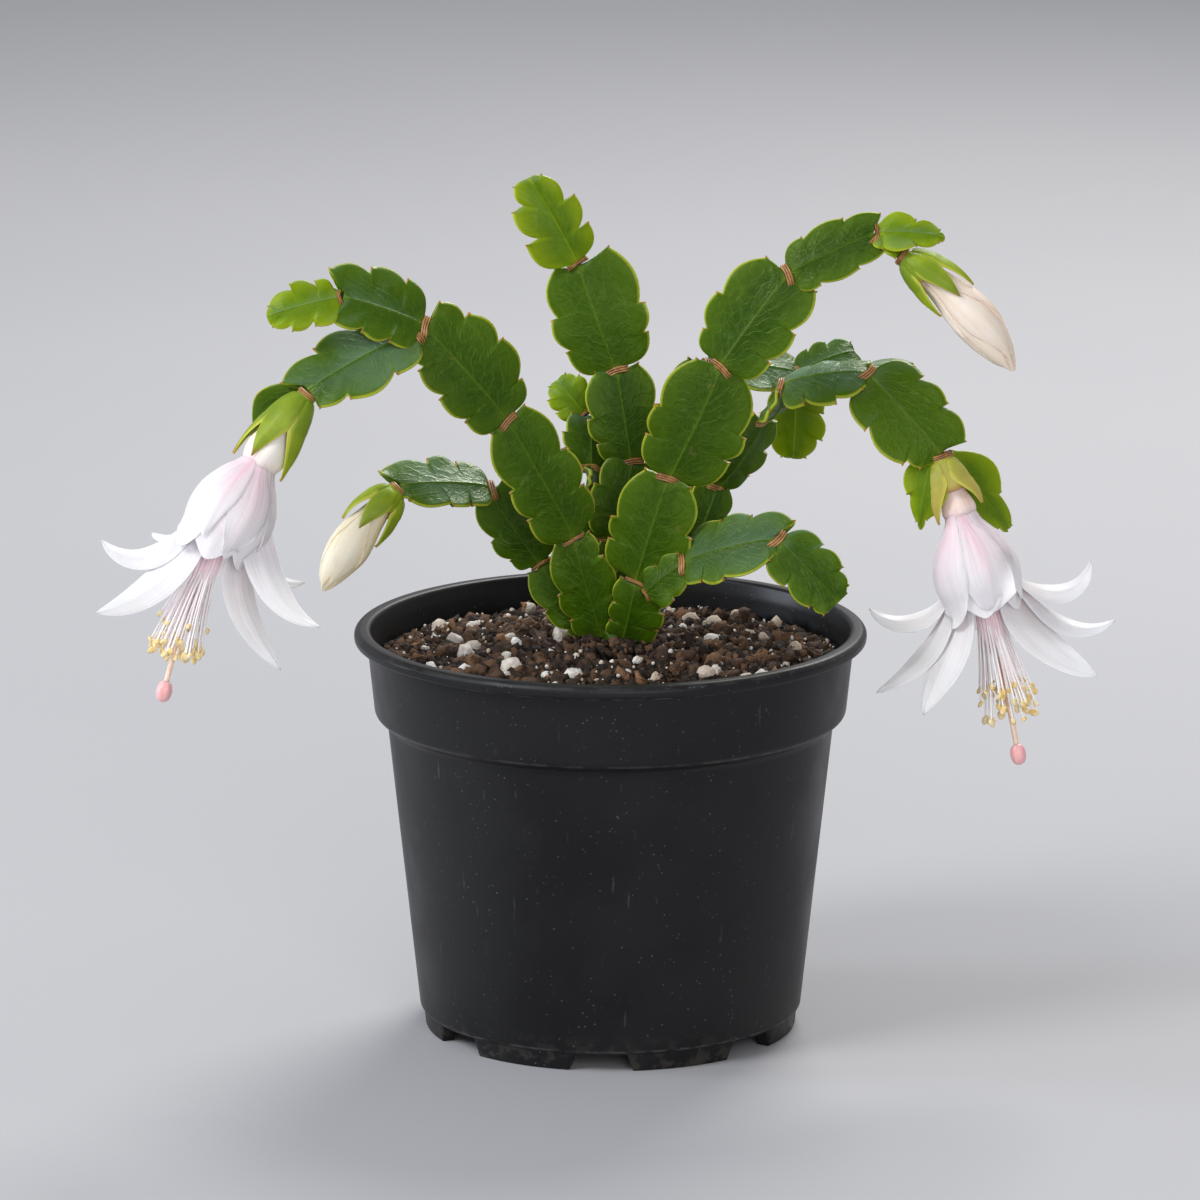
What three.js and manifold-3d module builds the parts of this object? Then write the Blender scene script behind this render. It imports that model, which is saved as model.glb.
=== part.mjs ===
// A Christmas cactus in a round nursery pot. The pot is filled with potting mix. A short woody
// crown stands in it and carries eight leafy stems, each a chain of flat jointed segments with
// scalloped edges. Two stems end in open two-tiered flowers and two in closed buds.
// Millimetres, +Z up, the front faces -Y, origin on the table under the middle of the pot.
import * as THREE from 'three'
import { mergeVertices } from 'three/addons/utils/BufferGeometryUtils.js'
import Module from 'manifold-3d'

const wasm = await Module()
wasm.setup()

// Pot: outer radii and heights
const POT_HEIGHT = 95.5
const RIM_RADIUS = 60
const LIP_HEIGHT = 3
const LIP_INNER_RADIUS = 56.3
const LIP_ROUND = 0.7
const BAND_TOP_RADIUS = 56.9
const BAND_FOOT_RADIUS = 55.3
const BAND_FOOT_HEIGHT = 75
const STEP_HEIGHT = 1.6
const WALL_TOP_RADIUS = 52.3
const SEAM_RADIUS = 44.9
const SEAM_HEIGHT = 4.9
const FOOT_RADIUS = 43.6
const FOOT_RING_WIDTH = 3.2
const WALL_THICKNESS = 1.5
const FLOOR_THICKNESS = 1.6
const EDGE_ROUND = 0.5
const POT_SIDES = 32

// Pot: gaps in the foot ring and drain holes
const FOOT_GAPS = 7
const FIRST_GAP_ANGLE = -93
const GAP_WIDTH = 12
const GAP_HEIGHT = 4.1
const GAP_SLOPE = 1.4
const DRAIN_RADIUS = 4.5
const DRAIN_CIRCLE_RADIUS = 30
const DRAIN_SIDES = 8

// Potting mix
const SEAT_GAP = 0.3
const SOIL_EDGE_HEIGHT = 87.5
const SOIL_MOUND = 3.2
const SOIL_LUMP = 1.1
const SOIL_EDGE_SPREAD = 0.7
const SOIL_MIDDLE_RADIUS = 5.5
const SOIL_RINGS = 6
const SOIL_SIDES = 24

// Crown: the woody trunk, with the plain hole in the soil that it stands in
const TRUNK_AT = [0.5, 1]
const TRUNK_FOOT_HEIGHT = 78
const TRUNK_SIDES = 8
const KNUCKLE_HEIGHT = 94
const KNUCKLE_HALF = [3.6, 6]
// Rows of the trunk from its foot up: height, half width, half depth
const TRUNK_ROWS = [
  [TRUNK_FOOT_HEIGHT, 2.1, 2.1],
  [SOIL_EDGE_HEIGHT - 3, 2.5, 2.6],
  [SOIL_EDGE_HEIGHT + SOIL_MOUND, 2.7, 3.2],
  [KNUCKLE_HEIGHT - 1.2, ...KNUCKLE_HALF],
  [KNUCKLE_HEIGHT + 0.4, ...KNUCKLE_HALF],
  [KNUCKLE_HEIGHT + 1.8, 2.4, 4.4],
]
const TRUNK_LUMP = 0.08

// Stem segments
const JOINT_HALF_WIDTH = 2.8
const COLLAR_HALF_WIDTH = 3.2
const COLLAR_RIB_THICKNESS = 1.9
const COLLAR_EDGE_THICKNESS = 1.2
const COLLAR_FOOT = -0.7
const COLLAR_TOP = 0.9
const RIB_HALF_THICKNESS = 1.5
const EDGE_HALF_THICKNESS = 0.4
const TIP_HALF_THICKNESS = 1.1
const TOOTH_LENGTH = 0.6
const NOTCH_DEPTH = 1.1
const NOTCH_STEP = 0.4
const SCALLOP_BULGE = 0.12
const SCALLOP_PARTS = [0.45]
const HORN_SHARE = 0.6

// Flowers and buds
const PETAL_HALF_THICKNESS = 0.32
const PETAL_STEPS = 6
const BRACT_STEPS = 5
const OVARY_TOP = 8.6
const TUBE_START = 8.9
const TUBE_RADII = [2.7, 3.5, 3.8, 3.6]
// Bell below the neck: share of the way to the mouth, radius
const BELL_SHAPE = [[0.2, 6.9], [0.42, 9.4], [0.66, 9.8], [0.86, 8.2], [1, 6.9]]
const BELL_SIDES = 15
const BELL_LOBES = 5
const BELL_SWING = 0.05
const BELL_LIP_DROP = 1.3
const THROAT_DEPTH = 10
const BUNDLE_RADII = [1.8, 3.1, 2.4]
const FILAMENTS = 12
const FILAMENT_RADIUS = 0.34
const ANTHER_RADIUS = 0.8
const ANTHER_LENGTH = 2
const STYLE_RADIUS = 0.55
const STIGMA_HALF = [1.75, 2.5]
const STIGMA_RINGS = 5
const GOLDEN_ANGLE = 137.5
// Closed bud: share of its largest radius, share of its length
const BUD_SHAPE = [
  [0.45, 0.2], [0.66, 0.34], [0.9, 0.48], [1, 0.6], [0.88, 0.74], [0.55, 0.88], [0.22, 0.96], [0.06, 1],
]
const BUD_CONE_SHARE = 0.2

const RADIANS = Math.PI / 180
const FRONT = new THREE.Vector3(0, -1, 0.23).normalize()
const vec = ([x, y, z]) => new THREE.Vector3(x, y, z)
const range = count => Array.from({ length: count }, (_, k) => k)
const join = solids => solids.reduce((whole, next) => whole.add(next))

const COLOUR = {
  pot: [0x1c1d20, 0.42],
  soil: [0x3a281e, 0.95],
  wood: [0x3d6b2b, 0.5],
  oldStem: [0x3f7a26, 0.38],
  youngStem: [0x86b028, 0.42],
  calyx: [0x97ae2c, 0.45],
  petal: [0xf4eef4, 0.5],
  stamen: [0xf3dcc0, 0.5],
  pistil: [0xf0a5a8, 0.4],
  bud: [0xf3e2c3, 0.45],
}

// Turns a closed geometry, its faces outwards or inwards, into a solid that can be joined and cut
function solidOf(geometry) {
  const bare = geometry.clone()
  bare.deleteAttribute('normal')
  bare.deleteAttribute('uv')
  const merged = mergeVertices(bare, 1e-4)
  const points = merged.attributes.position.array
  const triangles = []
  let volume = 0
  for (let k = 0; k < merged.index.count; k += 3) {
    const [a, b, c] = [0, 1, 2].map(side => merged.index.getX(k + side))
    if (a === b || b === c || c === a) continue
    const [p, q, r] = [a, b, c].map(at => new THREE.Vector3().fromArray(points, at * 3))
    volume += p.dot(q.cross(r))
    triangles.push([a, b, c])
  }
  const outward = volume < 0 ? triangles.map(([a, b, c]) => [a, c, b]) : triangles
  return new wasm.Manifold(new wasm.Mesh({
    numProp: 3,
    vertProperties: new Float32Array(points),
    triVerts: new Uint32Array(outward.flat()),
  }))
}

function solidFrom(points, triangles) {
  const geometry = new THREE.BufferGeometry()
  geometry.setAttribute('position', new THREE.Float32BufferAttribute(points.flatMap(p => p.toArray()), 3))
  geometry.setIndex(triangles.flat())
  return solidOf(geometry)
}

function geometryOf(solid) {
  const mesh = solid.getMesh()
  const geometry = new THREE.BufferGeometry()
  geometry.setAttribute('position', new THREE.BufferAttribute(mesh.vertProperties, mesh.numProp))
  geometry.setIndex(new THREE.BufferAttribute(mesh.triVerts, 1))
  geometry.computeVertexNormals()
  return geometry
}

const plant = new THREE.Group()

function addNode(name, solid, [color, roughness]) {
  const material = new THREE.MeshStandardMaterial({ color, roughness, metalness: 0 })
  const mesh = new THREE.Mesh(geometryOf(solid), material)
  mesh.name = name
  plant.add(mesh)
  return mesh
}

// A profile of [radius, height] points turned round the Z axis
function revolve(profile, sides) {
  const points = profile.map(([radius, height]) => new THREE.Vector2(radius, height))
  return solidOf(new THREE.LatheGeometry(points, sides).rotateX(Math.PI / 2))
}

// A closed skin through rings of points, with a flat cap on the first and the last ring
function loft(rings) {
  const sides = rings[0].length
  const triangles = []
  for (let row = 0; row < rings.length - 1; row++) {
    for (let k = 0; k < sides; k++) {
      const a = row * sides + k
      const b = row * sides + (k + 1) % sides
      triangles.push([a, b, b + sides], [a, b + sides, a + sides])
    }
  }
  const last = (rings.length - 1) * sides
  for (let k = 1; k < sides - 1; k++) {
    triangles.push([0, k + 1, k], [last, last + k, last + k + 1])
  }
  return solidFrom(rings.flat(), triangles)
}

// A thin blade on a grid of rows of middle points. Each point has its own half thickness, and
// both faces are split alike, so they never cross.
function blade(rows) {
  const columns = rows[0].length
  const count = rows.length * columns
  const points = [1, -1].flatMap(face =>
    rows.flat().map(p => p.at.clone().addScaledVector(p.normal, face * p.half)))
  const triangles = []
  for (let row = 0; row < rows.length - 1; row++) {
    for (let k = 0; k < columns - 1; k++) {
      const a = row * columns + k
      const [b, c, d] = [a + 1, a + columns + 1, a + columns]
      for (const [p, q, r] of [[a, b, c], [a, c, d]]) {
        triangles.push([p, q, r], [p + count, r + count, q + count])
      }
    }
  }
  const rim = [
    ...range(columns - 1).map(k => [k + 1, k]),
    ...range(rows.length - 1).map(row => [row * columns, (row + 1) * columns]),
    ...range(columns - 1).map(k => [count - columns + k, count - columns + k + 1]),
    ...range(rows.length - 1).map(row => [(row + 2) * columns - 1, (row + 1) * columns - 1]),
  ]
  for (const [p, q] of rim) triangles.push([p, q, q + count], [p, q + count, p + count])
  return solidFrom(points, triangles)
}

// Pot and soil

function buildPot() {
  const wallSlope = (WALL_TOP_RADIUS - SEAM_RADIUS) / (BAND_FOOT_HEIGHT - STEP_HEIGHT - SEAM_HEIGHT)
  const floorTop = SEAM_HEIGHT + FLOOR_THICKNESS
  const lipFoot = POT_HEIGHT - LIP_HEIGHT
  const profile = [
    [0, SEAM_HEIGHT],
    [FOOT_RADIUS - FOOT_RING_WIDTH, SEAM_HEIGHT],
    [FOOT_RADIUS - FOOT_RING_WIDTH, 0],
    [FOOT_RADIUS, 0],
    [FOOT_RADIUS + EDGE_ROUND, SEAM_HEIGHT - EDGE_ROUND],
    [SEAM_RADIUS, SEAM_HEIGHT],
    [WALL_TOP_RADIUS, BAND_FOOT_HEIGHT - STEP_HEIGHT],
    [BAND_FOOT_RADIUS, BAND_FOOT_HEIGHT + EDGE_ROUND],
    [BAND_TOP_RADIUS, lipFoot - EDGE_ROUND],
    [RIM_RADIUS - LIP_ROUND, lipFoot],
    [RIM_RADIUS, lipFoot + LIP_ROUND],
    [RIM_RADIUS, POT_HEIGHT - LIP_ROUND],
    [RIM_RADIUS - LIP_ROUND, POT_HEIGHT],
    [LIP_INNER_RADIUS, POT_HEIGHT],
    [BAND_TOP_RADIUS - WALL_THICKNESS, lipFoot - EDGE_ROUND],
    [BAND_FOOT_RADIUS - WALL_THICKNESS, BAND_FOOT_HEIGHT + EDGE_ROUND],
    [WALL_TOP_RADIUS - WALL_THICKNESS, BAND_FOOT_HEIGHT - STEP_HEIGHT],
    [SEAM_RADIUS - WALL_THICKNESS + wallSlope * FLOOR_THICKNESS, floorTop],
    [0, floorTop],
  ]
  const cuts = range(FOOT_GAPS).flatMap(k => {
    const angle = (FIRST_GAP_ANGLE + k * 360 / FOOT_GAPS) * RADIANS
    return [footGap(angle), drainHole(DRAIN_CIRCLE_RADIUS, angle)]
  })
  return [...cuts, drainHole(0, 0)].reduce((pot, cut) => pot.subtract(cut), revolve(profile, POT_SIDES))
}

// The space between two feet: a notch with sloping ends, open below
function footGap(angle) {
  const half = GAP_WIDTH / 2
  const outline = new THREE.Shape([
    new THREE.Vector2(-half - GAP_SLOPE, -1),
    new THREE.Vector2(half + GAP_SLOPE, -1),
    new THREE.Vector2(half, GAP_HEIGHT),
    new THREE.Vector2(-half, GAP_HEIGHT),
  ])
  const notch = new THREE.ExtrudeGeometry(outline, { depth: 2 * FOOT_RING_WIDTH + 4, bevelEnabled: false })
  notch.rotateX(Math.PI / 2)
  notch.rotateZ(Math.PI / 2)
  notch.translate(FOOT_RADIUS - 2 * FOOT_RING_WIDTH, 0, 0)
  notch.rotateZ(angle)
  return solidOf(notch)
}

function drainHole(radius, angle) {
  const hole = new THREE.CylinderGeometry(DRAIN_RADIUS, DRAIN_RADIUS, 4 * FLOOR_THICKNESS, DRAIN_SIDES)
  hole.rotateX(Math.PI / 2)
  hole.translate(radius * Math.cos(angle), radius * Math.sin(angle), SEAM_HEIGHT)
  return solidOf(hole)
}

// Height of the soil: a low mound with lumps, flatter against the pot wall
function soilHeight(x, y) {
  const share = Math.hypot(x, y) / LIP_INNER_RADIUS
  const lumps = Math.sin(0.31 * x + 1.3) * Math.cos(0.27 * y) + 0.6 * Math.sin(0.55 * y - 0.4 * x)
  return SOIL_EDGE_HEIGHT + SOIL_MOUND * (1 - share ** 2) + SOIL_LUMP * lumps * (1 - share ** 6)
}

function buildSoil() {
  const bandInner = BAND_FOOT_RADIUS - WALL_THICKNESS - SEAT_GAP
  const wallInner = WALL_TOP_RADIUS - WALL_THICKNESS - SEAT_GAP
  const floorInner = SEAM_RADIUS - WALL_THICKNESS - SEAT_GAP
  const sideRows = [
    [floorInner, SEAM_HEIGHT + FLOOR_THICKNESS + SEAT_GAP],
    [wallInner, BAND_FOOT_HEIGHT - STEP_HEIGHT],
    [bandInner, BAND_FOOT_HEIGHT + EDGE_ROUND],
  ]
  const edge = bandInner + SOIL_EDGE_SPREAD
  const ring = (radius, height) => range(SOIL_SIDES).map(k => {
    const angle = k / SOIL_SIDES * 2 * Math.PI
    const [x, y] = [radius * Math.cos(angle), radius * Math.sin(angle)]
    return vec([x, y, height ?? soilHeight(x, y)])
  })
  const step = (edge - SOIL_MIDDLE_RADIUS) / (SOIL_RINGS - 1)
  const topRows = range(SOIL_RINGS).map(k => ring(edge - k * step))
  const body = loft([...sideRows.map(([radius, height]) => ring(radius, height)), ...topRows])
  return body.subtract(trunk(SEAT_GAP))
}

// Crown

// The woody trunk with its swollen top. `grow` makes it that much larger, for its hole in the soil.
function trunk(grow) {
  return loft(TRUNK_ROWS.map(([height, halfX, halfY], row) => range(TRUNK_SIDES).map(k => {
    const angle = k / TRUNK_SIDES * 2 * Math.PI
    const lump = 1 + TRUNK_LUMP * Math.sin(3 * angle + height)
    const [x, y] = [(halfX * lump + grow) * Math.cos(angle), (halfY * lump + grow) * Math.sin(angle)]
    return vec([TRUNK_AT[0] + x, TRUNK_AT[1] + y, row === 0 ? height - grow : height])
  })))
}

// Stem segments

// Share of a segment's full half width at a share of its length, before the edge is cut
const swell = along => Math.max(0.3, Math.sin(Math.PI * Math.min(0.97, 0.1 + 0.78 * along))) ** 0.55

// One edge of a segment from its base joint to its tip joint, as [along, out] in millimetres.
// It starts with the woody collar, swings out in a scallop to each tooth and drops into the notch
// behind it. The last tooth is the horn beside the tip joint.
function edgeLine(length, half, teeth, horn, endHalf, foot, notch) {
  const line = [[foot, COLLAR_HALF_WIDTH], [COLLAR_TOP, COLLAR_HALF_WIDTH]]
  let start = [COLLAR_TOP, JOINT_HALF_WIDTH]
  teeth.forEach((share, k) => {
    const last = k === teeth.length - 1
    const tooth = [share * length, last ? horn : half * swell(share)]
    for (const part of SCALLOP_PARTS) {
      const rise = k === 0 ? part ** 0.5 : part
      const bulge = SCALLOP_BULGE * half * Math.sin(Math.PI * part)
      line.push([
        start[0] + (tooth[0] - start[0]) * part,
        start[1] + (tooth[1] - start[1]) * rise + bulge,
      ])
    }
    line.push([tooth[0], tooth[1] + TOOTH_LENGTH])
    start = [tooth[0] + NOTCH_STEP, tooth[1] - notch]
    if (!last) line.push(start)
  })
  const hornReach = teeth.at(-1) * length - length
  line.push([length + 0.2 * Math.max(0, hornReach), endHalf + 0.9])
  line.push([length, endHalf])
  return line
}

// One flat segment from joint to joint. `half` is [left, right] of its direction, seen from its
// face. `turn` rolls the face away from the front, `arch` lifts its middle and `fold` its edges.
// `grow` makes it that much larger all round, its notches filled, to cut a clear space in a
// neighbour.
function segment(spec, grow = 0) {
  const { half, left, right, turn = 0, arch = 1, fold = 0.8, gap = 0, tip = JOINT_HALF_WIDTH } = spec
  const horn = spec.horn ?? half.map(side => side * HORN_SHARE)
  const to = vec(spec.to)
  const along = to.clone().sub(vec(spec.from)).normalize()
  const from = vec(spec.from).addScaledVector(along, gap)
  const length = from.distanceTo(to)
  const normal = FRONT.clone().addScaledVector(along, -FRONT.dot(along)).normalize()
  normal.applyAxisAngle(along, turn * RADIANS)
  const side = along.clone().cross(normal)
  const foot = gap > 0 ? 0 : COLLAR_FOOT
  const notch = grow > 0 ? 0 : NOTCH_DEPTH
  const edges = [
    edgeLine(length, half[0], left, horn[0], tip, foot, notch),
    edgeLine(length, half[1], right, horn[1], tip, foot, notch),
  ]
  const steps = edges[0].length - 1
  const place = (reach, out, halfThickness) => {
    const share = reach / length
    const stretched = reach + grow * (2 * share - 1)
    const lift = arch * 4 * share * (1 - share) + fold * (out / Math.max(...half)) ** 2
    return {
      at: from.clone().addScaledVector(along, stretched).addScaledVector(side, out + grow * Math.sign(out))
        .addScaledVector(normal, lift),
      normal,
      half: halfThickness + grow,
    }
  }
  const rows = range(steps + 1).map(k => {
    const [leftEdge, rightEdge] = edges.map(edge => edge[k])
    const inCollar = k < 2
    const ribShare = ((k - 1) / (steps - 1)) ** 1.4
    const ribReach = inCollar ? leftEdge[0] : COLLAR_TOP + (length - COLLAR_TOP) * ribShare
    const edgeThickness = inCollar ? COLLAR_EDGE_THICKNESS : EDGE_HALF_THICKNESS
    const leafThickness = k === steps ? TIP_HALF_THICKNESS : RIB_HALF_THICKNESS
    const ribThickness = inCollar ? COLLAR_RIB_THICKNESS : leafThickness
    return [
      place(leftEdge[0], -leftEdge[1], edgeThickness),
      place(ribReach, 0, ribThickness),
      place(rightEdge[0], rightEdge[1], edgeThickness),
    ]
  })
  return blade(rows)
}

const stem = specs => join(specs.map(spec => segment(spec)))

// Cuts room for neighbouring segments into a solid and drops any loose scrap that this leaves
function clearOf(solid, neighbours) {
  const rest = neighbours.reduce((whole, spec) => whole.subtract(segment(spec, SEAT_GAP)), solid)
  return rest.decompose().sort((a, b) => b.volume() - a.volume())[0]
}

// The young tip or the next stem, clear of the segments that bear it
const stemOn = (specs, bearers) => clearOf(stem(specs), bearers)

// Teeth of the plain segments, as shares of the length
const TEETH = [0.28, 0.62, 1.02]
const TWO_TEETH = [0.5, 1.02]

const CROWN = [
  { from: [-2, -2, 94], to: [-8.5, -6, 117.5], half: [7, 6.8],
    left: [0.22, 0.5, 1.02], right: [0.4, 0.8, 1.04], turn: -8 },
  { from: [-3, 3, 93.5], to: [-16, 5, 109], half: [6.4, 6.4],
    left: [0.2, 0.54, 1.02], right: TEETH, turn: -10 },
  { from: [0.5, 4, 94], to: [0.5, 10, 113], half: [5.5, 5.5],
    left: TWO_TEETH, right: TWO_TEETH, turn: 20 },
  { from: [3, -3.5, 93.5], to: [6, -9, 108], half: [4.6, 8.2],
    left: TEETH, right: TEETH, turn: 0, horn: [4, 5.6] },
  { from: [-1.5, 6, 94], to: [-2.5, 12, 112.5], half: [5, 5],
    left: TWO_TEETH, right: TWO_TEETH, turn: -25 },
  { from: [3, 6, 94], to: [10.5, 14, 112], half: [5, 5],
    left: TWO_TEETH, right: TWO_TEETH, turn: 25 },
]

const LEFT_HIGH = [
  { from: [-8.5, -6, 117.5], to: [-24, -13, 147.5], half: [8.2, 9],
    left: [0.3, 0.55, 0.98], right: [0.3, 0.6, 1.02], turn: 12, gap: SEAT_GAP },
  { from: [-24, -13, 147.5], to: [-43, -18, 170.5], half: [9.2, 12],
    left: [0.22, 0.51, 0.78, 1], right: [0.14, 0.49, 0.81, 1.04], turn: 14, horn: [6, 6.8] },
  { from: [-43, -18, 170.5], to: [-61.5, -22, 178], half: [7.8, 10.2],
    left: [0.35, 0.69, 1.03], right: [0.3, 0.75, 1.2], turn: 25, horn: [6.6, 6.2] },
  { from: [-45, -19, 168.8], to: [-69, -30, 157.5], half: [9.6, 10],
    left: [0.33, 0.77, 1], right: [0.36, 0.74, 1.12], turn: 35, horn: [5.4, 6.2] },
  { from: [-69.5, -26, 157], to: [-82.5, -21, 145.5], half: [3.6, 3.8],
    left: [0.3, 0.6, 0.95], right: [0.3, 0.6, 0.95], turn: 10, tip: 1.5 },
]

const LEFT_HIGH_TIP = [
  { from: [-61.5, -22, 178], to: [-78.5, -25, 174], half: [5.6, 6],
    left: [0.42, 0.72, 0.96], right: [0.25, 0.59, 0.94], turn: 15, gap: SEAT_GAP, tip: 1.6, horn: [3, 3] },
]

const LEFT_LOW = [
  { from: [-16, 5, 109], to: [-28, 5, 127], half: [6.6, 6.6],
    left: [0.2, 0.5, 1], right: TEETH, turn: -15, gap: SEAT_GAP },
  { from: [-28, 5, 127], to: [-49, -2, 129], half: [7.4, 8.6],
    left: [0.25, 0.48, 0.92], right: [0.3, 0.62, 1.18], turn: 45, horn: [4.6, 5] },
]

const MIDDLE = [
  { from: [0.5, 10, 113], to: [5, 14, 132], half: [8, 8],
    left: TEETH, right: TEETH, turn: 10, gap: SEAT_GAP },
  { from: [5, 14, 132], to: [1.5, 16, 153.5], half: [8.8, 8.8],
    left: [0.22, 0.5, 1], right: [0.25, 0.55, 1.02], turn: 0 },
  { from: [1.5, 16, 153.5], to: [-7.5, 18, 178], half: [10.6, 12],
    left: [0.28, 0.6, 1.04], right: [0.22, 0.48, 1.06], turn: -8, horn: [5.6, 8.4] },
]

const MIDDLE_TIP = [
  { from: [-7.5, 18, 178], to: [-19, 19, 198.5], half: [9, 7.4],
    left: [0.42, 0.78, 0.99], right: [0.3, 0.62, 0.96], turn: 10, gap: SEAT_GAP, tip: 1.6, horn: [4.4, 3] },
]

const RIGHT_HIGH = [
  { from: [6, -9, 108], to: [13.5, -13, 134], half: [10, 9.6],
    left: [0.3, 0.5, 0.99], right: [0.3, 0.55, 0.97], turn: -8, gap: SEAT_GAP },
  { from: [13.5, -13, 134], to: [25.5, -15, 160.5], half: [10.8, 12.2],
    left: [0.26, 0.5, 0.98], right: [0.3, 0.53, 0.99], turn: 12, horn: [6.4, 5.8] },
  { from: [25.5, -15, 160.5], to: [41, -15, 182], half: [11, 10.2],
    left: [0.16, 0.49, 0.99], right: [0.28, 0.62, 1.02], turn: -12, horn: [7, 7.6] },
  { from: [41, -15, 182], to: [60.5, -15, 191.5], half: [7.2, 6.8],
    left: [0.27, 0.75, 1.14], right: [0.25, 0.7, 1.02], turn: -15, horn: [4, 4.8] },
]

const RIGHT_HIGH_TIPS = [
  { from: [60.5, -15, 191.5], to: [76.5, -17, 191], half: [4.4, 3.4],
    left: [0.3, 0.56, 0.9], right: [0.3, 0.6, 0.9], turn: -20, gap: SEAT_GAP, tip: 1.4, horn: [2.6, 2] },
  { from: [60.5, -15, 191.5], to: [66.5, -16, 187], half: [2.6, 2.6],
    left: [0.4, 0.9], right: [0.4, 0.9], turn: -20, gap: SEAT_GAP, tip: 1.8, horn: [2, 2] },
]

const RIGHT_LOW = [
  { from: [8.4, -11.2, 105.6], to: [17, -16, 114], half: [4, 6],
    left: [0.5, 1], right: [0.5, 0.9], turn: -20, gap: SEAT_GAP, horn: [3.2, 4.6] },
  { from: [17, -16, 114], to: [38.5, -24, 121.5], half: [8.8, 8.8],
    left: [0.4, 0.73, 1.16], right: [0.2, 0.45, 0.92], turn: -38, horn: [4.4, 5.4] },
  { from: [38.5, -24, 121.5], to: [51.5, -28, 108.5], half: [7.1, 7],
    left: [0.38, 0.75, 1], right: [0.42, 0.84, 1.06], turn: -10, tip: 1.8, horn: [4.6, 4.4] },
]

const DROOPING = [
  { from: [8.4, 9.6, 103.5], to: [18.5, 8, 113], half: [5, 5],
    left: TWO_TEETH, right: TWO_TEETH, turn: -20 },
  { from: [18.5, 8, 113], to: [24.5, 10, 127], half: [6.4, 6.4],
    left: TEETH, right: TEETH, turn: 25 },
  { from: [24.5, 10, 127], to: [35.5, 8, 143.5], half: [6.6, 6.6],
    left: TEETH, right: TEETH, turn: 45 },
  { from: [35.5, 8, 143.5], to: [40, 5, 151.5], half: [4.5, 4.5],
    left: [0.5, 1], right: [0.5, 1], turn: 75 },
  { from: [40, 5, 151.5], to: [59.5, 0, 155.5], half: [7, 8],
    left: [0.3, 0.65, 1], right: [0.27, 0.65, 0.96], turn: -50, fold: -1.6 },
  { from: [59.5, 0, 155.5], to: [76.5, -6, 138], half: [10, 10.6],
    left: [0.34, 0.68, 1.06], right: [0.36, 0.83, 0.96], turn: -15, horn: [6.6, 6.2] },
  { from: [42, 9, 151], to: [71.5, 15, 153.6], half: [7, 7],
    left: [0.3, 0.68, 1], right: [0.3, 0.68, 1], turn: -72, tip: 2 },
]

const DROOPING_TIP_LEFT = [
  { from: [75, -5, 138.8], to: [71.5, -8, 120], half: [2.6, 6.2],
    left: [0.3, 0.6, 0.95], right: [0.3, 0.58, 0.9], turn: 15, gap: 1, tip: 1.2, horn: [1.6, 2.4] },
]

const DROOPING_TIP_RIGHT = [
  { from: [77.5, -3, 137.6], to: [92.5, 5, 117.6], half: [5.8, 4.6],
    left: [0.3, 0.66, 0.96], right: [0.3, 0.6, 0.9], turn: -20, gap: 1, tip: 1.2, horn: [2.4, 2] },
]

const BACK_LEFT = [
  { from: [-2.5, 12, 112.5], to: [-5, 18, 124], half: [5.6, 5.6],
    left: TWO_TEETH, right: TWO_TEETH, turn: 30, gap: SEAT_GAP },
  { from: [-5, 18, 124], to: [-5, 20, 129], half: [4, 4],
    left: [0.5, 1], right: [0.5, 1], turn: 70 },
  { from: [-5, 20, 129], to: [-5.5, 25, 140.5], half: [7, 7],
    left: TEETH, right: TEETH, turn: 20 },
]

const BACK_LEFT_TIP = [
  { from: [-5.5, 25, 140.5], to: [-12.5, 28, 148.5], half: [5.4, 5.4],
    left: [0.4, 0.75, 0.98], right: [0.4, 0.75, 0.98], turn: 0, gap: SEAT_GAP, tip: 1.5, horn: [2.6, 2.6] },
]

const BACK_RIGHT = [
  { from: [10.5, 14, 112], to: [17, 22, 132], half: [8, 8],
    left: TWO_TEETH, right: TWO_TEETH, turn: 0, gap: SEAT_GAP },
  { from: [17, 22, 132], to: [23, 30, 151], half: [9, 9],
    left: TEETH, right: TEETH, turn: 10 },
  { from: [23, 30, 151], to: [44.5, 36, 148], half: [8, 8],
    left: TEETH, right: TEETH, turn: -45 },
  { from: [44.5, 36, 148], to: [58, 40, 152.5], half: [5.6, 5.6],
    left: TEETH, right: TEETH, turn: -35, tip: 1.8 },
]

const BACK_RIGHT_TIP = [
  { from: [44.2, 36, 147.5], to: [43.5, 39, 127.5], half: [7, 7],
    left: [0.35, 0.7, 0.97], right: [0.35, 0.7, 0.97], turn: 0, gap: 1.2, tip: 1.6, horn: [3, 3] },
]

// Flowers and buds

// The curved middle line of a flower: a point at `reach` millimetres, with its side and back axes
function axisOf({ from, bend, to }) {
  const curve = new THREE.QuadraticBezierCurve3(vec(from), vec(bend), vec(to))
  const length = curve.getLength()
  const frame = reach => {
    const share = THREE.MathUtils.clamp(reach / length, 0, 1)
    const tangent = curve.getTangentAt(share)
    const side = new THREE.Vector3(1, 0, 0).addScaledVector(tangent, -tangent.x).normalize()
    return { at: curve.getPointAt(share), tangent, side, back: side.clone().cross(tangent) }
  }
  // Takes a point of the straight flower, [side, back, reach], to its place on the curved one
  const place = ([x, y, reach]) => {
    const { at, side, back } = frame(reach)
    return at.addScaledVector(side, x).addScaledVector(back, y)
  }
  return { place, length }
}

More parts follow.
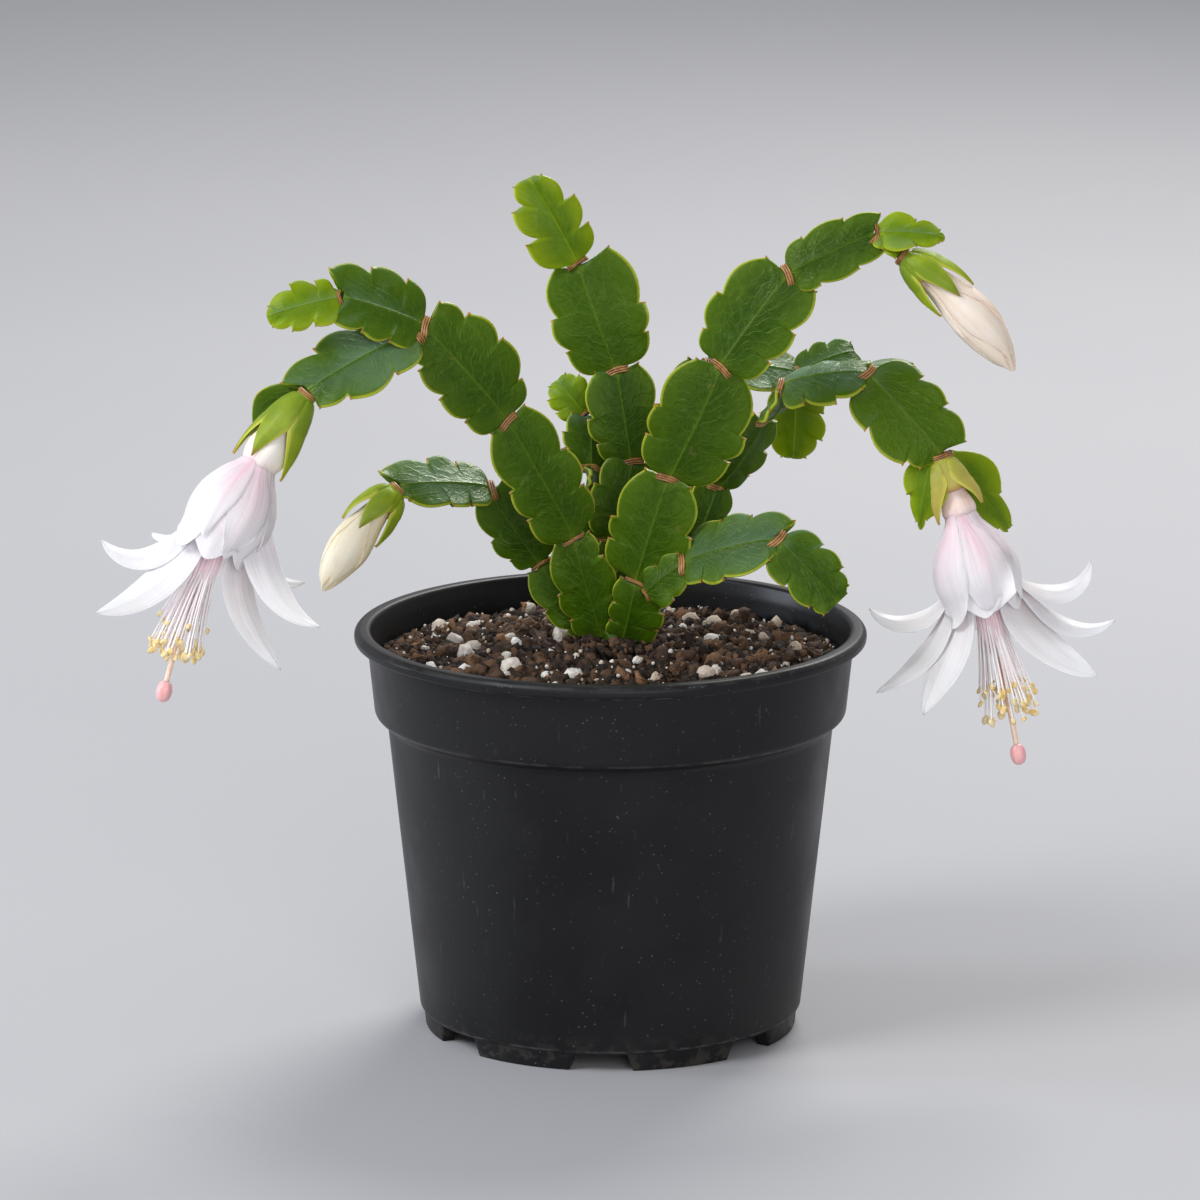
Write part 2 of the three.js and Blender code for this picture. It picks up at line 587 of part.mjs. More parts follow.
// A ring of points round the axis, with an optional wave in its radius and in its reach
function axisRing(axis, sides, radius, reach, { swing = 0, drop = 0, lobes = BELL_LOBES } = {}) {
  return range(sides).map(k => {
    const angle = k / sides * 2 * Math.PI
    const wave = Math.cos(lobes * angle)
    const r = radius * (1 + swing * wave)
    return axis.place([r * Math.cos(angle), r * Math.sin(angle), reach + drop * wave])
  })
}

const turned = (axis, profile, sides, grow = 0, wave = {}) =>
  loft(profile.map(([radius, reach], k) => {
    const end = k === 0 ? -grow : k === profile.length - 1 ? grow : 0
    return axisRing(axis, sides, radius + grow, reach + end, wave)
  }))

// A pointed petal or bract. In the plane through the axis it leaves `root` [radius, reach], passes
// two guiding points and ends at `tip` [side, back, reach]. `twist` turns its face on the way.
function petal(axis, spec) {
  const { tip, root, swing, half, twist = 0, cup = 0.6 } = spec
  const { steps = PETAL_STEPS, thickness = PETAL_HALF_THICKNESS } = spec
  const angle = Math.atan2(tip[1], tip[0])
  const guides = [root, ...swing, [Math.hypot(tip[0], tip[1]), tip[2]]]
  const curve = new THREE.CubicBezierCurve(...guides.map(([radius, reach]) => new THREE.Vector2(radius, reach)))
  const place = (outward, sideways, reach) => axis.place([
    outward * Math.cos(angle) - sideways * Math.sin(angle),
    outward * Math.sin(angle) + sideways * Math.cos(angle),
    reach,
  ])
  const rows = range(steps).map(k => {
    const share = k / (steps - 1)
    const { x: radius, y: reach } = curve.getPoint(share)
    const slope = curve.getTangent(share)
    const turn = twist * RADIANS * share ** 0.7
    const width = 0.35 + half * Math.sin(Math.PI * (0.18 + 0.82 * share)) ** 0.8
    const dip = cup * Math.sin(Math.PI * share)
    // A point of the blade, `off` to the side of its middle line and `lift` above its face
    const point = (off, lift) => {
      const sideways = off * Math.cos(turn) - lift * Math.sin(turn)
      const raised = off * Math.sin(turn) + lift * Math.cos(turn)
      return place(radius + raised * slope.y, sideways, reach - raised * slope.x)
    }
    return [-1, 0, 1].map(edge => {
      const lift = -dip * Math.abs(edge)
      const at = point(edge * width, lift)
      const normal = point(edge * width, lift + 1).sub(at)
      return { at, normal, half: edge === 0 ? 1.25 * thickness : thickness }
    })
  })
  return blade(rows)
}

// Radius of the flower tube and bell at shares of the way from the neck to the mouth
const bellProfile = (neck, mouth) => [
  [TUBE_RADII[0], TUBE_START],
  [TUBE_RADII[1], (TUBE_START + neck) / 2],
  [TUBE_RADII[2], neck - 1.6],
  [TUBE_RADII[3], neck],
  ...BELL_SHAPE.map(([share, radius]) => [radius, neck + share * (mouth - neck)]),
]

// The tube and the bell of overlapping petals, with five shallow lobes and an open throat
function bell(axis, neck, mouth) {
  const outside = bellProfile(neck, mouth).map(([radius, reach], k, all) => {
    const open = Math.max(0, k - 4) / (all.length - 5)
    const wave = { swing: BELL_SWING * Math.min(1, k / 5), drop: BELL_LIP_DROP * open }
    return axisRing(axis, BELL_SIDES, radius, reach, wave)
  })
  const lip = axisRing(axis, BELL_SIDES, 5.9, mouth - 0.4, { drop: BELL_LIP_DROP })
  const throat = axisRing(axis, BELL_SIDES, 3.6, mouth - THROAT_DEPTH)
  return loft([...outside, lip, throat])
}

const tubeRoom = (axis, neck, mouth) =>
  turned(axis, bellProfile(neck, mouth).slice(0, 6), BELL_SIDES, SEAT_GAP)

// Green cup under a flower or bud: a swollen cone and pointed bracts round the tube
function calyx(axis, bracts, room, coneTop) {
  const cone = turned(axis, [[2.3, SEAT_GAP], [4.2, 0.4 * coneTop], [4.6, coneTop]], 8)
  const leaves = bracts.map(bract => petal(axis, {
    root: [3.4, coneTop - 3],
    swing: [[5.6, coneTop], [5.8, 0.75 * bract.tip[2]]],
    cup: 0.8,
    steps: BRACT_STEPS,
    thickness: 0.45,
    ...bract,
  }))
  return join([cone, ...leaves]).subtract(room)
}

// The thin style, from the throat to the foot of the stigma
const styleLine = (mouth, length) => [
  [STYLE_RADIUS, mouth - THROAT_DEPTH + SEAT_GAP],
  [STYLE_RADIUS, mouth + 4],
  [STYLE_RADIUS, length - 2 * STIGMA_HALF[1] + STYLE_RADIUS],
]

function pistil(axis, mouth) {
  const end = axis.length
  const middle = end - STIGMA_HALF[1]
  const bulb = range(STIGMA_RINGS).map(k => {
    const angle = (k + 0.7) / (STIGMA_RINGS + 0.4) * Math.PI
    return [STIGMA_HALF[0] * Math.sin(angle), middle - STIGMA_HALF[1] * Math.cos(angle)]
  })
  return turned(axis, [...styleLine(mouth, end), ...bulb], 8)
}

// White filaments fanning out of a close bundle, each with a golden anther at its end
function stamens(axis, mouth, fan) {
  const [throat, middle, end] = BUNDLE_RADII
  const heart = [[throat, mouth - THROAT_DEPTH + SEAT_GAP], [middle, mouth + 5], [end, mouth + 8]]
  const threads = range(FILAMENTS).map(k => {
    const angle = k * GOLDEN_ANGLE * RADIANS
    const spread = Math.sqrt((k + 1.5) / (FILAMENTS + 0.5))
    const reach = mouth + fan.near + (fan.far - fan.near) * ((k * 5) % FILAMENTS) / (FILAMENTS - 1)
    // A three-sided ring round the thread, whose middle lies `out` from the flower's axis
    const ring = (out, along, radius) => range(3).map(side => {
      const around = side / 3 * 2 * Math.PI
      const x = out * spread * Math.cos(angle) + radius * Math.cos(around)
      const y = out * spread * Math.sin(angle) + radius * Math.sin(around)
      return axis.place([x, y, along])
    })
    return loft([
      ring(middle - 0.2, mouth + 2, FILAMENT_RADIUS),
      ring(fan.radius, reach - 0.3 * ANTHER_LENGTH, FILAMENT_RADIUS),
      ring(fan.radius, reach + 0.15 * ANTHER_LENGTH, ANTHER_RADIUS),
      ring(fan.radius, reach + 0.7 * ANTHER_LENGTH, FILAMENT_RADIUS),
    ])
  })
  const room = turned(axis, styleLine(mouth, axis.length), 8, 2 * SEAT_GAP)
  return join([turned(axis, heart, 8), ...threads]).subtract(room)
}

function addFlower(side, { line, neck, mouth, petals, bracts, fan }, clear = []) {
  const axis = axisOf(line)
  const cup = calyx(axis, bracts, tubeRoom(axis, neck, mouth), OVARY_TOP)
  const blades = petals.map(spec => petal(axis, { root: [6.5, mouth - 8], ...spec }))
  addNode(`flower_${side}_calyx`, clearOf(cup, clear), COLOUR.calyx)
  addNode(`flower_${side}_petals`, join([bell(axis, neck, mouth), ...blades]), COLOUR.petal)
  addNode(`flower_${side}_stamens`, stamens(axis, mouth, fan), COLOUR.stamen)
  addNode(`flower_${side}_pistil`, pistil(axis, mouth), COLOUR.pistil)
}

// Closed bud: wrapped petals that show as five shallow ridges, in its own green cup
function addBud(side, { line, radius, bracts }, clear = []) {
  const axis = axisOf(line)
  const end = axis.length
  const coneTop = BUD_CONE_SHARE * end
  const profile = BUD_SHAPE.map(([share, along], k) =>
    [share * radius, k === 0 ? coneTop + SEAT_GAP : along * end])
  const cup = calyx(axis, bracts, turned(axis, profile, BELL_SIDES, SEAT_GAP), coneTop)
  addNode(`bud_${side}_calyx`, clearOf(cup, clear), COLOUR.calyx)
  addNode(`bud_${side}_petals`, turned(axis, profile, BELL_SIDES, 0, { swing: BELL_SWING }), COLOUR.bud)
}

const FLOWER_LEFT = {
  line: { from: [-69, -30, 157.5], bend: [-94.5, -35, 125], to: [-103, -39, 87] },
  neck: 20.2,
  mouth: 43,
  petals: [
    { tip: [-24.2, 2, 50.2], swing: [[6.5, 45.5], [14.5, 55]], half: 3.6, twist: -52 },
    { tip: [-19.6, -7, 63.6], swing: [[3.5, 47.5], [10.6, 59.2]], half: 4.6, twist: -46 },
    { tip: [-14.3, 11, 45.8], root: [7, 32], swing: [[5.5, 40.5], [11.8, 45.6]], half: 3.4, twist: -30 },
    { tip: [22.3, 11.8, 41.5], root: [6.5, 32], swing: [[11, 36], [16.5, 47.5]], half: 3.2, twist: 40 },
    { tip: [29.5, -6.3, 48.4], root: [6.5, 33], swing: [[11, 38.5], [19, 50.5]], half: 4.2, twist: 50 },
    { tip: [24.5, 4, 64.8], swing: [[5, 48], [16, 57.5]], half: 4.4, twist: 56 },
    { tip: [2, 20, 49], swing: [[6.5, 45], [14, 50]], half: 4.2 },
  ],
  bracts: [
    { tip: [-6.4, 1, 21], half: 3.8 },
    { tip: [-2.6, -4.8, 18.8], half: 3.4 },
    { tip: [6.4, -2, 20.5], half: 4.2 },
    { tip: [1, 5.5, 18], half: 3.8 },
  ],
  fan: { near: 17, far: 26, radius: 6.6 },
}

const FLOWER_RIGHT = {
  line: { from: [76.5, -6, 138], bend: [88.5, -10, 104.5], to: [95.5, -13, 65.5] },
  neck: 16.5,
  mouth: 38.2,
  petals: [
    { tip: [-26.4, 4.2, 31.1], root: [6.5, 28], swing: [[8.6, 37.8], [22.6, 39.7]], half: 3.2, twist: -46 },
    { tip: [-29.5, -3.1, 50.8], swing: [[9.2, 39.7], [18.9, 48.3]], half: 3.6, twist: -46 },
    { tip: [-20, -8.9, 57.7], swing: [[5.5, 41.5], [16, 48.6]], half: 5, twist: -40 },
    { tip: [26.3, 6.1, 34], root: [6.5, 28], swing: [[8.4, 37], [22.5, 43.8]], half: 3.4, twist: 46 },
    { tip: [28.5, 3, 47.7], swing: [[10, 38.2], [16.8, 51.7]], half: 3.2, twist: 46 },
    { tip: [21.1, -6.9, 57.7], swing: [[4, 41.5], [14, 51.8]], half: 5.2, twist: 46 },
    { tip: [-2, 19, 44], swing: [[6.5, 40], [14, 45]], half: 4.2 },
  ],
  bracts: [
    { tip: [-4.2, -3.4, 15.6], half: 3.4 },
    { tip: [6.6, -2.4, 13.8], half: 3.4 },
    { tip: [0.5, 5.4, 15], half: 3.8 },
  ],
  fan: { near: 17, far: 26.5, radius: 6.8 },
}

const BUD_LEFT = {
  line: { from: [-49, -2, 129], bend: [-60, -5.5, 119], to: [-67, -8, 106] },
  radius: 4.9,
  bracts: [
    { tip: [-5.2, -1.4, 13.8], half: 3.2 },
    { tip: [-0.6, -5.2, 13.3], half: 3 },
    { tip: [5, -1.5, 14.4], half: 3.2 },
    { tip: [0, 5.3, 13], half: 3.2 },
  ],
}

const BUD_RIGHT = {
  line: { from: [66.5, -16, 187], bend: [82.5, -18, 176.5], to: [92.5, -20, 160.5] },
  radius: 5.4,
  bracts: [
    { tip: [-5.2, -2, 16.6], half: 3.2 },
    { tip: [5.2, -1.6, 16.8], half: 3.2 },
    { tip: [1.2, -5.2, 16.4], half: 3 },
    { tip: [0, 5.4, 15.5], half: 3.4 },
  ],
}

addNode('pot', buildPot(), COLOUR.pot)
addNode('soil', clearOf(buildSoil(), CROWN), COLOUR.soil)
addNode('crown', stem(CROWN).add(trunk(0)), COLOUR.wood)
addNode('stem_left_high', stemOn(LEFT_HIGH, [CROWN[0]]), COLOUR.oldStem)
addNode('tip_left_high', stemOn(LEFT_HIGH_TIP, [LEFT_HIGH[2]]), COLOUR.youngStem)
addNode('stem_left_low', stemOn(LEFT_LOW, [CROWN[1]]), COLOUR.oldStem)
addNode('stem_middle', stemOn(MIDDLE, [CROWN[2]]), COLOUR.oldStem)
addNode('tip_middle', stemOn(MIDDLE_TIP, [MIDDLE[2]]), COLOUR.youngStem)
addNode('stem_right_high', stemOn(RIGHT_HIGH, [CROWN[3]]), COLOUR.oldStem)
addNode('tips_right_high', stemOn(RIGHT_HIGH_TIPS, [RIGHT_HIGH[3]]), COLOUR.youngStem)
addNode('stem_right_low', stemOn(RIGHT_LOW, [CROWN[3], RIGHT_HIGH[0]]), COLOUR.oldStem)
addNode('stem_drooping', stemOn(DROOPING, [CROWN[3], CROWN[5], RIGHT_HIGH[0]]), COLOUR.oldStem)
addNode('tip_drooping_left', stemOn(DROOPING_TIP_LEFT, [DROOPING[5]]), COLOUR.youngStem)
addNode('tip_drooping_right', stemOn(DROOPING_TIP_RIGHT, [DROOPING[5]]), COLOUR.youngStem)
addNode('stem_back_left', stemOn(BACK_LEFT, [CROWN[4], MIDDLE[0]]), COLOUR.oldStem)
addNode('tip_back_left', stemOn(BACK_LEFT_TIP, [BACK_LEFT[2]]), COLOUR.youngStem)
addNode('stem_back_right', stemOn(BACK_RIGHT, [CROWN[5]]), COLOUR.oldStem)
addNode('tip_back_right', stemOn(BACK_RIGHT_TIP, [BACK_RIGHT[2], BACK_RIGHT[3]]), COLOUR.youngStem)
addFlower('left', FLOWER_LEFT, [LEFT_HIGH[3], LEFT_HIGH[4]])
addFlower('right', FLOWER_RIGHT, [DROOPING[5], DROOPING_TIP_LEFT[0], DROOPING_TIP_RIGHT[0]])
addBud('left', BUD_LEFT, [LEFT_LOW[1]])
addBud('right', BUD_RIGHT, [RIGHT_HIGH_TIPS[1]])

export default plant
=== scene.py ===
# A Christmas cactus in a black nursery pot: pot, potting mix, jointed stems, flowers and buds.
# Every piece stands where the loaded frame has its solid. Metres, +Z up, the front faces -Y.
import math
import random
import bmesh
import bpy
import numpy as np
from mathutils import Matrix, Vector


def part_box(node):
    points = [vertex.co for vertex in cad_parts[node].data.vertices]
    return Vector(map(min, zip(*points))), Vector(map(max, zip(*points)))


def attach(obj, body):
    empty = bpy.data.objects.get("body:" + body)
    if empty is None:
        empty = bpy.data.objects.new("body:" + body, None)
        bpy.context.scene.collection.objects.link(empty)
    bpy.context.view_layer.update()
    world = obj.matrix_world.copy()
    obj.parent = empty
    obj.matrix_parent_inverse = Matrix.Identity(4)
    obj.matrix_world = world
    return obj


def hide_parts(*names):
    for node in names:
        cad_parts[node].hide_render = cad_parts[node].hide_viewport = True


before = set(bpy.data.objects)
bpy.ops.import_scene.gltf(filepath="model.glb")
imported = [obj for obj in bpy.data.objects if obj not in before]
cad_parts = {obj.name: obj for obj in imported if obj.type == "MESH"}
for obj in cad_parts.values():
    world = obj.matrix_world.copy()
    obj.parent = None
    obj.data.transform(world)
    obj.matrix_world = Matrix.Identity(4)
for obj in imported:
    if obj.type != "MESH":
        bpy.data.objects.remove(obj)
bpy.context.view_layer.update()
MM = 0.001


# Pot
# The round nursery pot is thin black polypropylene, moulded in one shot: a tapered wall, a stepped
# band below the rolled lip, and a foot ring with seven gaps. It stands loose on its feet.

pot_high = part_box("pot")[1]
RIM_RADIUS = pot_high[0] / MM
POT_HEIGHT = pot_high[2] / MM
LIP_FOOT = POT_HEIGHT - 3
BAND_FOOT = 75.5
SEAM_HEIGHT = 4.9
FLOOR_TOP = SEAM_HEIGHT + 1.6
FOOT_RADIUS = 43.6
FOOT_INNER_RADIUS = 40.4
# Corners of the pot's section from the middle of the floor's underside, out, up, over the lip
# and down inside: radius, height, rounding
POT_CORNERS = [
    (0, SEAM_HEIGHT, 0), (FOOT_INNER_RADIUS, SEAM_HEIGHT, 0.5), (FOOT_INNER_RADIUS, 0, 0.3),
    (FOOT_RADIUS, 0, 0.4), (FOOT_RADIUS + 0.5, SEAM_HEIGHT - 0.6, 0.3), (44.9, SEAM_HEIGHT, 0.6),
    (52.3, BAND_FOOT - 2.1, 1.2), (55.2, BAND_FOOT, 1.0), (56.9, LIP_FOOT - 0.7, 0.3),
    (57.5, LIP_FOOT - 0.4, 0.2), (57.6, LIP_FOOT, 0.2), (RIM_RADIUS - 0.1, LIP_FOOT, 0.9),
    (RIM_RADIUS, POT_HEIGHT - 1.1, 0.6), (RIM_RADIUS - 0.9, POT_HEIGHT, 0.8),
    (56.3, POT_HEIGHT, 0.9), (55.4, LIP_FOOT - 0.5, 0.8), (53.8, BAND_FOOT, 0.8),
    (50.8, BAND_FOOT - 2.1, 0.8), (43.5, FLOOR_TOP, 1.5), (0, FLOOR_TOP, 0),
]
ARC_STEPS = 5
FOOT_GAPS = 7
FIRST_GAP_ANGLE = -93
GAP_HALF_WIDTH = 6
GAP_SLOPE = 1.6
GAP_HEIGHT = 4.1
DRAIN_RADIUS = 4.5
DRAIN_CIRCLE_RADIUS = 30
POT_SIDES = 300
DRAIN_SIDES = 32
POT_CREASE = 50
# Height, inner radius, width and strength of each pale line on the outside
# The lines under the lip and on the rim's top are painted highlights, those at the band's step and
# the seam are pale with wear
WORN_AND_HIGHLIGHT_LINES = [(LIP_FOOT - 0.5, 56.4, 0.45, 0.5), (BAND_FOOT - 0.3, 54.4, 0.7, 0.25),
              (POT_HEIGHT - 0.6, 58.5, 0.5, 0.12), (SEAM_HEIGHT - 0.1, 44, 0.5, 0.45)]


def rounded_outline(corners):
    """The outline through the corners, each rounded corner drawn as a short curve."""
    points = []
    for number, (x, y, rounding) in enumerate(corners):
        corner = Vector((x, y))
        if rounding == 0:
            points.append(corner)
            continue
        before = Vector(corners[number - 1][:2]) - corner
        after = Vector(corners[number + 1][:2]) - corner
        reach = min(rounding, before.length / 2.2, after.length / 2.2)
        start = corner + before.normalized() * reach
        end = corner + after.normalized() * reach
        for step in range(ARC_STEPS + 1):
            t = step / ARC_STEPS
            points.append(start * (1 - t) ** 2 + corner * 2 * t * (1 - t) + end * t ** 2)
    return points


def turns(count):
    """Even angles all round."""
    return [2 * math.pi * k / count for k in range(count)]


def add_object(name, data):
    """An object at the origin, in the scene."""
    made = bpy.data.objects.new(name, data)
    bpy.context.scene.collection.objects.link(made)
    return made


def mesh_object(name, points, faces, material, smooth_angle=40):
    """A piece from points in millimetres and faces, smooth but for its sharp edges."""
    mesh = bpy.data.meshes.new(name)
    mesh.from_pydata([tuple(c * MM for c in p) for p in points], [], faces)
    mesh.validate()
    shell = bmesh.new()
    shell.from_mesh(mesh)
    bmesh.ops.recalc_face_normals(shell, faces=shell.faces)
    shell.to_mesh(mesh)
    shell.free()
    mesh.shade_smooth()
    mesh.set_sharp_from_angle(angle=math.radians(smooth_angle))
    mesh.materials.append(material)
    return add_object(name, mesh)


def plain_mesh(piece):
    """Applies the piece's modifiers into its mesh and removes them."""
    depsgraph = bpy.context.evaluated_depsgraph_get()
    finished = bpy.data.meshes.new_from_object(piece.evaluated_get(depsgraph))
    piece.modifiers.clear()
    piece.data = finished


def revolved(outline, angles):
    """Points and faces of an outline that starts and ends on the axis, turned round it."""
    rows = outline[1:-1]
    points = [(0, 0, outline[0][1])]
    for radius, height in rows:
        points += [(radius * math.cos(a), radius * math.sin(a), height) for a in angles]
    points.append((0, 0, outline[-1][1]))
    count = len(angles)
    last = len(points) - 1
    faces = []
    for k in range(count):
        following = (k + 1) % count
        faces.append((0, 1 + following, 1 + k))
        for row in range(len(rows) - 1):
            a, b = 1 + row * count + k, 1 + row * count + following
            faces.append((a, b, b + count, a + count))
        top = 1 + (len(rows) - 1) * count
        faces.append((top + k, top + following, last))
    return points, faces


def dress(piece, node=None):
    """Fixes a piece to the body, in place of its plain solid if it has one."""
    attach(piece, "root")
    if node:
        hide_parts(node)


def gap_angles():
    """Where round the pot the gaps between its feet are."""
    return [math.radians(FIRST_GAP_ANGLE + k * 360 / FOOT_GAPS) for k in range(FOOT_GAPS)]


def foot_lift(angle):
    """How high the foot ring's underside stands at an angle: the gaps between the feet."""
    away = min(abs(math.remainder(angle - gap, 2 * math.pi)) for gap in gap_angles()) * FOOT_RADIUS
    rise = (GAP_HALF_WIDTH + GAP_SLOPE - away) / GAP_SLOPE
    return GAP_HEIGHT * min(1, max(0, rise))


def pot_angles():
    """Even steps round the pot, with more at the ends of each foot gap."""
    angles = turns(POT_SIDES)
    for gap in gap_angles():
        for side in (-1, 1):
            for away in (GAP_HALF_WIDTH, GAP_HALF_WIDTH + GAP_SLOPE):
                angles.append((gap + side * away / FOOT_RADIUS) % (2 * math.pi))
    return sorted(angles)


def drill_drain_holes(piece):
    """Cuts the eight drain holes through the pot's floor."""
    places = [(0, 0)]
    for angle in gap_angles():
        places.append((DRAIN_CIRCLE_RADIUS * math.cos(angle),
                       DRAIN_CIRCLE_RADIUS * math.sin(angle)))
    points, faces = [], []
    for x, y in places:
        hole = [(0, SEAM_HEIGHT - 2), (DRAIN_RADIUS, SEAM_HEIGHT - 2),
                (DRAIN_RADIUS, FLOOR_TOP + 2), (0, FLOOR_TOP + 2)]
        around, sides = revolved(hole, turns(DRAIN_SIDES))
        faces += [tuple(v + len(points) for v in face) for face in sides]
        points += [(px + x, py + y, pz) for px, py, pz in around]
    drill = mesh_object("drain_drill", points, faces, piece.data.materials[0])
    cut = piece.modifiers.new("drain holes", "BOOLEAN")
    cut.object = drill
    cut.operation = "DIFFERENCE"
    cut.solver = "EXACT"
    plain_mesh(piece)
    bpy.data.objects.remove(drill)


class Nodes:
    """Adds nodes to a tree. Each input is a plain value or another node's output."""

    def __init__(self, tree):
        self.tree = tree

    def feed(self, socket, value):
        if isinstance(value, bpy.types.NodeSocket):
            self.tree.links.new(value, socket)
        elif socket.type == "RGBA" and len(value) == 3:
            socket.default_value = (*value, 1)
        else:
            socket.default_value = value

    def out(self, kind, inputs=None, output=0, **settings):
        """Adds a node with its settings and inputs, and gives one of its outputs."""
        made = self.tree.nodes.new(kind)
        for name, value in settings.items():
            setattr(made, name, value)
        for key, value in (inputs or {}).items():
            self.feed(made.inputs[key], value)
        return made.outputs[output] if len(made.outputs) else None

    def maths(self, operation, first, second=0.0):
        return self.out("ShaderNodeMath", {0: first, 1: second}, operation=operation)

    def times(self, first, second):
        return self.maths("MULTIPLY", first, second)

    def ramp(self, value, low, high, to_low=0.0, to_high=1.0):
        """Maps a value from low..high to 0..1 or another range, held at both ends."""
        return self.out("ShaderNodeMapRange", {"Value": value, "From Min": low, "From Max": high,
                                               "To Min": to_low, "To Max": to_high})

    def noise(self, vector, scale, **more):
        return self.out("ShaderNodeTexNoise", {"Vector": vector, "Scale": scale, **more})

    def blend(self, factor, first, second, mode="MIX"):
        """Mixes two colours by a factor."""
        inputs = {0: factor, 6: first, 7: second}
        return self.out("ShaderNodeMix", inputs, 2, data_type="RGBA", blend_type=mode)


def new_group(name, kind, inputs, output):
    """An empty node group whose inputs are of their values' kinds, where None is for geometry."""
    tree = bpy.data.node_groups.new(name, kind)
    kinds = {tuple: "Vector", float: "Float", int: "Int", type(None): "Geometry"}
    for label, value in inputs.items():
        socket = tree.interface.new_socket(label, in_out="INPUT",
                                           socket_type="NodeSocket" + kinds[type(value)])
        if value is not None:
            socket.default_value = value
    result = "NodeSocketFloat" if kind == "ShaderNodeTree" else "NodeSocketGeometry"
    tree.interface.new_socket(output, in_out="OUTPUT", socket_type=result)
    give, take = tree.nodes.new("NodeGroupInput"), tree.nodes.new("NodeGroupOutput")
    return Nodes(tree), give.outputs, take.inputs[0]


def mottle_group():
    """Soft patches over a surface, as 0 to 1: the uneven colour that most finishes share."""
    nodes, give, take = new_group("soft patches", "ShaderNodeTree", {
        "Vector": (0, 0, 0), "Scale": 100.0, "Low": 0.35, "High": 0.65}, "Patches")
    noise = nodes.noise(give["Vector"], give["Scale"], Detail=5)
    spread = nodes.out("ShaderNodeMapRange", {
        "Value": noise, "From Min": give["Low"], "From Max": give["High"]},
        interpolation_type="SMOOTHSTEP")
    nodes.feed(take, spread)
    return nodes.tree


soft_patches = mottle_group()


class Finish(Nodes):
    """A material in the making: its shader, the place on the piece and the colour so far."""

    def __init__(self, name, shader):
        self.material = bpy.data.materials.new(name)
        self.material.use_nodes = True
        super().__init__(self.material.node_tree)
        self.tree.nodes.clear()
        shine = self.out("ShaderNodeBsdfPrincipled", shader)
        self.surface = shine.node
        self.out("ShaderNodeOutputMaterial", {"Surface": shine})
        self.place = self.out("ShaderNodeTexCoord", output="Object")
        self.base = None

    def mark(self, label):
        """One of the numbers that the piece keeps for each of its points."""
        return self.out("ShaderNodeAttribute", output="Fac", attribute_name=label)

    def patches(self, scale, low=0.35, high=0.65):
        inputs = {"Vector": self.place, "Scale": scale, "Low": low, "High": high}
        return self.out("ShaderNodeGroup", inputs, node_tree=soft_patches)

    def two_tone(self, first, second, factor):
        self.base = self.blend(factor, first, second)

    def tint(self, colour, factor, strength=None, mode="MIX"):
        """Mixes a colour into the base where the factor says."""
        if strength is not None:
            factor = self.times(factor, strength)
        self.base = self.blend(factor, self.base, colour, mode)

    def relief(self, height, strength, distance):
        inputs = {"Height": height, "Strength": strength, "Distance": distance * MM}
        self.feed(self.surface.inputs["Normal"], self.out("ShaderNodeBump", inputs))

    def done(self, rough=None):
        self.feed(self.surface.inputs["Base Color"], self.base)
        if rough:
            self.feed(self.surface.inputs["Roughness"], rough)
        return self.material


def pot_plastic():
    """Black matte plastic with faint mould marks, dust, hair scratches, ridges pale with wear and
    painted highlight lines.
    """
    skin = Finish("black pot plastic", {"Specular IOR Level": 0.26})
    height = skin.out("ShaderNodeSeparateXYZ", {"Vector": skin.place}, "Z")
    cloudy = skin.patches(45)
    skin.two_tone((0.0060, 0.0060, 0.0068), (0.0090, 0.0090, 0.0100), cloudy)
    specks = skin.out("ShaderNodeTexVoronoi", {"Vector": skin.place, "Scale": 640.0}, "Distance")
    thin = skin.noise(skin.place, 190.0)
    dust = skin.times(skin.ramp(specks, 0.17, 0.08), skin.ramp(thin, 0.47, 0.60))
    skin.tint((0.15, 0.15, 0.16), dust, 0.5)
    stretch = skin.out("ShaderNodeMapping", {
        "Vector": skin.place, "Rotation": (0.3, 0.5, 0.2), "Scale": (1.0, 1.0, 0.06)})
    hairs = skin.ramp(skin.noise(stretch, 900.0, Detail=1.0), 0.70, 0.74)
    skin.tint((0.12, 0.12, 0.125), skin.times(hairs, skin.patches(80, 0.5, 0.62)), 0.2)
    rub = skin.patches(260, 0.38, 0.6)
    flat = skin.out("ShaderNodeVectorMath", {0: skin.place, 1: (1, 1, 0)}, operation="MULTIPLY")
    radius = skin.out("ShaderNodeVectorMath", {0: flat}, "Value", operation="LENGTH")
    # Pale lines round the pot: painted highlights under the lip and on the rim's top, wear at the
    # band's step and the seam
    for line, inside, width, strength in WORN_AND_HIGHLIGHT_LINES:
        away = skin.maths("ABSOLUTE", skin.maths("SUBTRACT", height, line * MM))
        worn_and_highlight = skin.times(skin.ramp(away, width * MM, 0.0), rub)
        worn_and_highlight = skin.times(worn_and_highlight, skin.ramp(radius, inside * MM, (inside + 0.3) * MM))
        skin.tint((0.17, 0.165, 0.16), worn_and_highlight, strength)
    stain = skin.times(skin.ramp(height, 9 * MM, 1 * MM), skin.patches(320, 0.5, 0.62))
    skin.tint((0.075, 0.062, 0.05), stain, 0.4)
    skin.relief(skin.noise(skin.place, 1400.0, Detail=3.0), 0.10, 0.12)
    marred = skin.times(skin.maths("ADD", dust, stain), 0.25)
    return skin.done(skin.maths("ADD", skin.ramp(cloudy, 0, 1, 0.36, 0.47), marred))


